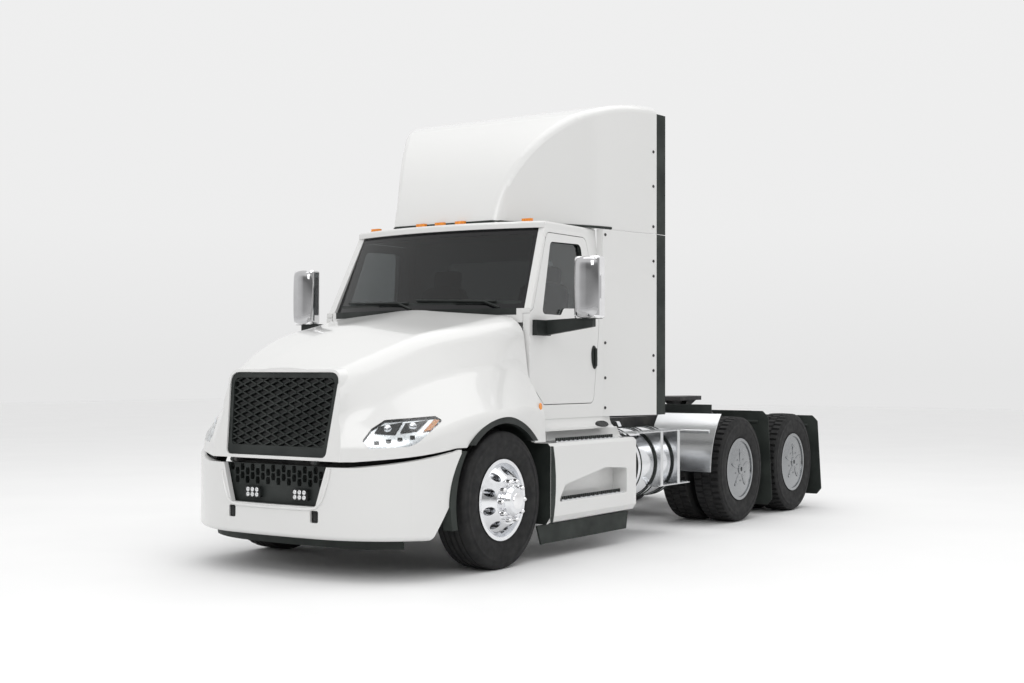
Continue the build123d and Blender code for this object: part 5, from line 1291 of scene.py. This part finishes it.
def cushion_form(form, centre, size, lean):
    """Stuffed pad: a box swelled between its seams."""
    made = bmesh.new()
    bmesh.ops.create_cube(made, size=1.0)
    bmesh.ops.subdivide_edges(made, edges=made.edges[:], cuts=PAD_CUTS, use_grid_fill=True)
    turn = leaned(lean)
    form.add_mesh(made, lambda point: Vector(centre) + turn @ padded_point(point * 2, size))


def make_seats():
    """Replace the plain seats by padded ones on a pedestal."""
    low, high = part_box("seats")
    seats = []
    for word, side in SIDES.items():
        y = side * (high.y - SEAT_HALF)

        def seat_point(place):
            return Vector((high.x - place[0], y, low.z + place[1]))

        pads = Form()
        for place, size, lean in SEAT_PADS:
            cushion_form(pads, seat_point(place), size, lean)
        thing = pads.make(f"seat_pads_{word}", CLOTH, "chassis", smooth=60)
        seats.append(thing)
        rest = Form()
        rest.box(seat_point(PEDESTAL_AT), PEDESTAL, bevel=0.02)
        rest.box(seat_point(BACK_PLATE_AT), BACK_PLATE, bevel=0.01, turn=leaned(BACK_LEAN))
        rest.make(f"seat_frame_{word}", PLASTIC, "chassis")
    for thing in seats:
        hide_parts("seats")


# Stage, light and camera

CAMERA_AT = (8.342, 6.800, 1.442)      # from the steer axle's middle on the ground
CAMERA_YAW = radians(-146.263)
CAMERA_PITCH = radians(1.24)
CAMERA_ROLL = radians(0.158)
CAMERA_LENS = 48.49
CAMERA_SENSOR = 36.0
FLOOR_SIZE = 90.0
# Brightness of the sky against the height of a ray, and where behind the camera it is dark
SKY = ((0.0, 0.79), (0.10, 0.85), (1.0, 0.92))
DARK_SIDE = ((0.15, 0.0), (0.55, 1.0))
DARK_LOW = ((0.0, 0.25), (0.10, 0.9), (0.22, 0.8), (0.40, 0.0))
DARK_VALUE = 0.14
# Colour sockets of a mix node, by number because their names repeat
MIX_A = 6
MIX_B = 7
MIX_RESULT = 2
# Rows: name, place, target, size, watts
SOFT_BOXES = (
    ("top_box", (0.0, 1.0, 11.0), (0.0, 0.0, 1.0), 11.0, 430.0),
    ("front_box", (11.0, 5.5, 7.0), (2.0, 0.0, 1.6), 6.0, 260.0),
)


def add_object(name, data):
    """Object in the scene that is no piece of the truck."""
    thing = bpy.data.objects.new(name, data)
    bpy.context.scene.collection.objects.link(thing)
    return thing


def make_camera():
    """Camera at the photograph's place."""
    data = bpy.data.cameras.new("camera")
    data.sensor_width = CAMERA_SENSOR
    data.lens = CAMERA_LENS
    camera = add_object("camera", data)
    yaw = Matrix.Rotation(CAMERA_YAW - pi / 2, 4, "Z")
    pitch = Matrix.Rotation(CAMERA_PITCH + pi / 2, 4, "X")
    roll = Matrix.Rotation(CAMERA_ROLL, 4, "Z")
    place = Vector((X_STEER, 0, 0)) + Vector(CAMERA_AT)
    camera.matrix_world = Matrix.Translation(place) @ yaw @ pitch @ roll
    bpy.context.scene.camera = camera


def make_floor():
    """Pale studio floor."""
    surface = Surface("floor")
    surface.tint(surface.noise(scale=0.7, detail=6), dark=(0.86, 0.86, 0.86), light=(0.88, 0.88, 0.878))
    surface.rough(surface.noise(scale=2.0, detail=4), low=0.6, high=0.8)
    half = FLOOR_SIZE / 2
    mesh = bpy.data.meshes.new("floor")
    corners = [(-half, -half, 0), (half, -half, 0), (half, half, 0), (-half, half, 0)]
    mesh.from_pydata(corners, [], [(0, 1, 2, 3)])
    mesh.materials.append(surface.material)
    add_object("floor", mesh)


def make_soft_boxes():
    """Square lights, each aimed at a point."""
    for name, place, target, size, power in SOFT_BOXES:
        data = bpy.data.lights.new(name, "AREA")
        data.size = size
        data.energy = power
        light = add_object(name, data)
        light.location = place
        aim = Vector(target) - Vector(place)
        light.rotation_euler = aim.to_track_quat("-Z", "Y").to_euler()


def make_sky():
    """Even pale world, darker low down behind the camera."""
    world = bpy.data.worlds.new("studio")
    bpy.context.scene.world = world
    world.use_nodes = True
    tree = world.node_tree
    add = tree.nodes.new
    link = tree.links.new

    def ramp(source, stops):
        node = add("ShaderNodeValToRGB")
        while len(node.color_ramp.elements) < len(stops):
            node.color_ramp.elements.new(0.5)
        for element, (place, value) in zip(node.color_ramp.elements, stops):
            element.position = place
            element.color = (value, value, value, 1)
        link(source, node.inputs["Fac"])
        return node.outputs["Color"]

    direction = add("ShaderNodeTexCoord").outputs["Generated"]
    split = add("ShaderNodeSeparateXYZ")
    link(direction, split.inputs["Vector"])
    facing = add("ShaderNodeVectorMath")
    facing.operation = "DOT_PRODUCT"
    facing.inputs[1].default_value = (cos(CAMERA_YAW + pi), sin(CAMERA_YAW + pi), 0)
    link(direction, facing.inputs[0])
    mask = add("ShaderNodeMix")
    mask.data_type = "RGBA"
    mask.blend_type = "MULTIPLY"
    mask.inputs["Factor"].default_value = 1.0
    link(ramp(facing.outputs["Value"], DARK_SIDE), mask.inputs[MIX_A])
    link(ramp(split.outputs["Z"], DARK_LOW), mask.inputs[MIX_B])
    mix = add("ShaderNodeMix")
    mix.data_type = "RGBA"
    mix.inputs[MIX_B].default_value = (DARK_VALUE, DARK_VALUE, DARK_VALUE, 1)
    link(mask.outputs[MIX_RESULT], mix.inputs["Factor"])
    link(ramp(split.outputs["Z"], SKY), mix.inputs[MIX_A])
    link(mix.outputs[MIX_RESULT], tree.nodes["Background"].inputs["Color"])


dress_nodes()
make_tyres()
make_wheel_fittings()
make_headlamps()
make_fog_lamps()
make_grille()
make_bezel()
both_sides(add_sill, "cab_sills", PAINT, "chassis")
finish_hood()
finish_fairings()
both_sides(add_tow_plug, "tow_plugs", GLOSS_BLACK, "chassis")
make_valance()
both_sides(add_step_teeth, "step_teeth", PLASTIC, "chassis")
make_handles()
make_wipers()
finish_mirrors()
finish_lamps()
both_sides(add_bolts, "panel_bolts", IRON, "chassis")
make_mirror_shells()
make_cowl_strip()
finish_doors()
both_sides(add_tank_bands, "tank_strap_edges", RUBBER, "chassis")
both_sides(add_flap, "fender_flaps", PLASTIC, "chassis")
both_sides(add_side_marker, "side_markers", AMBER, "hood")
both_sides(add_fillers, "filler_wells", GLOSS_BLACK, "chassis")
make_mouth_trim()
make_roof_seal()
both_sides(add_arch_strip, "fairing_strips", RUBBER, "chassis")
both_sides(add_guard_ribs, "guard_ribs", RUBBER, "chassis")
make_seats()
make_camera()
make_floor()
make_sky()
make_soft_boxes()
bpy.context.scene.view_settings.view_transform = "Standard"
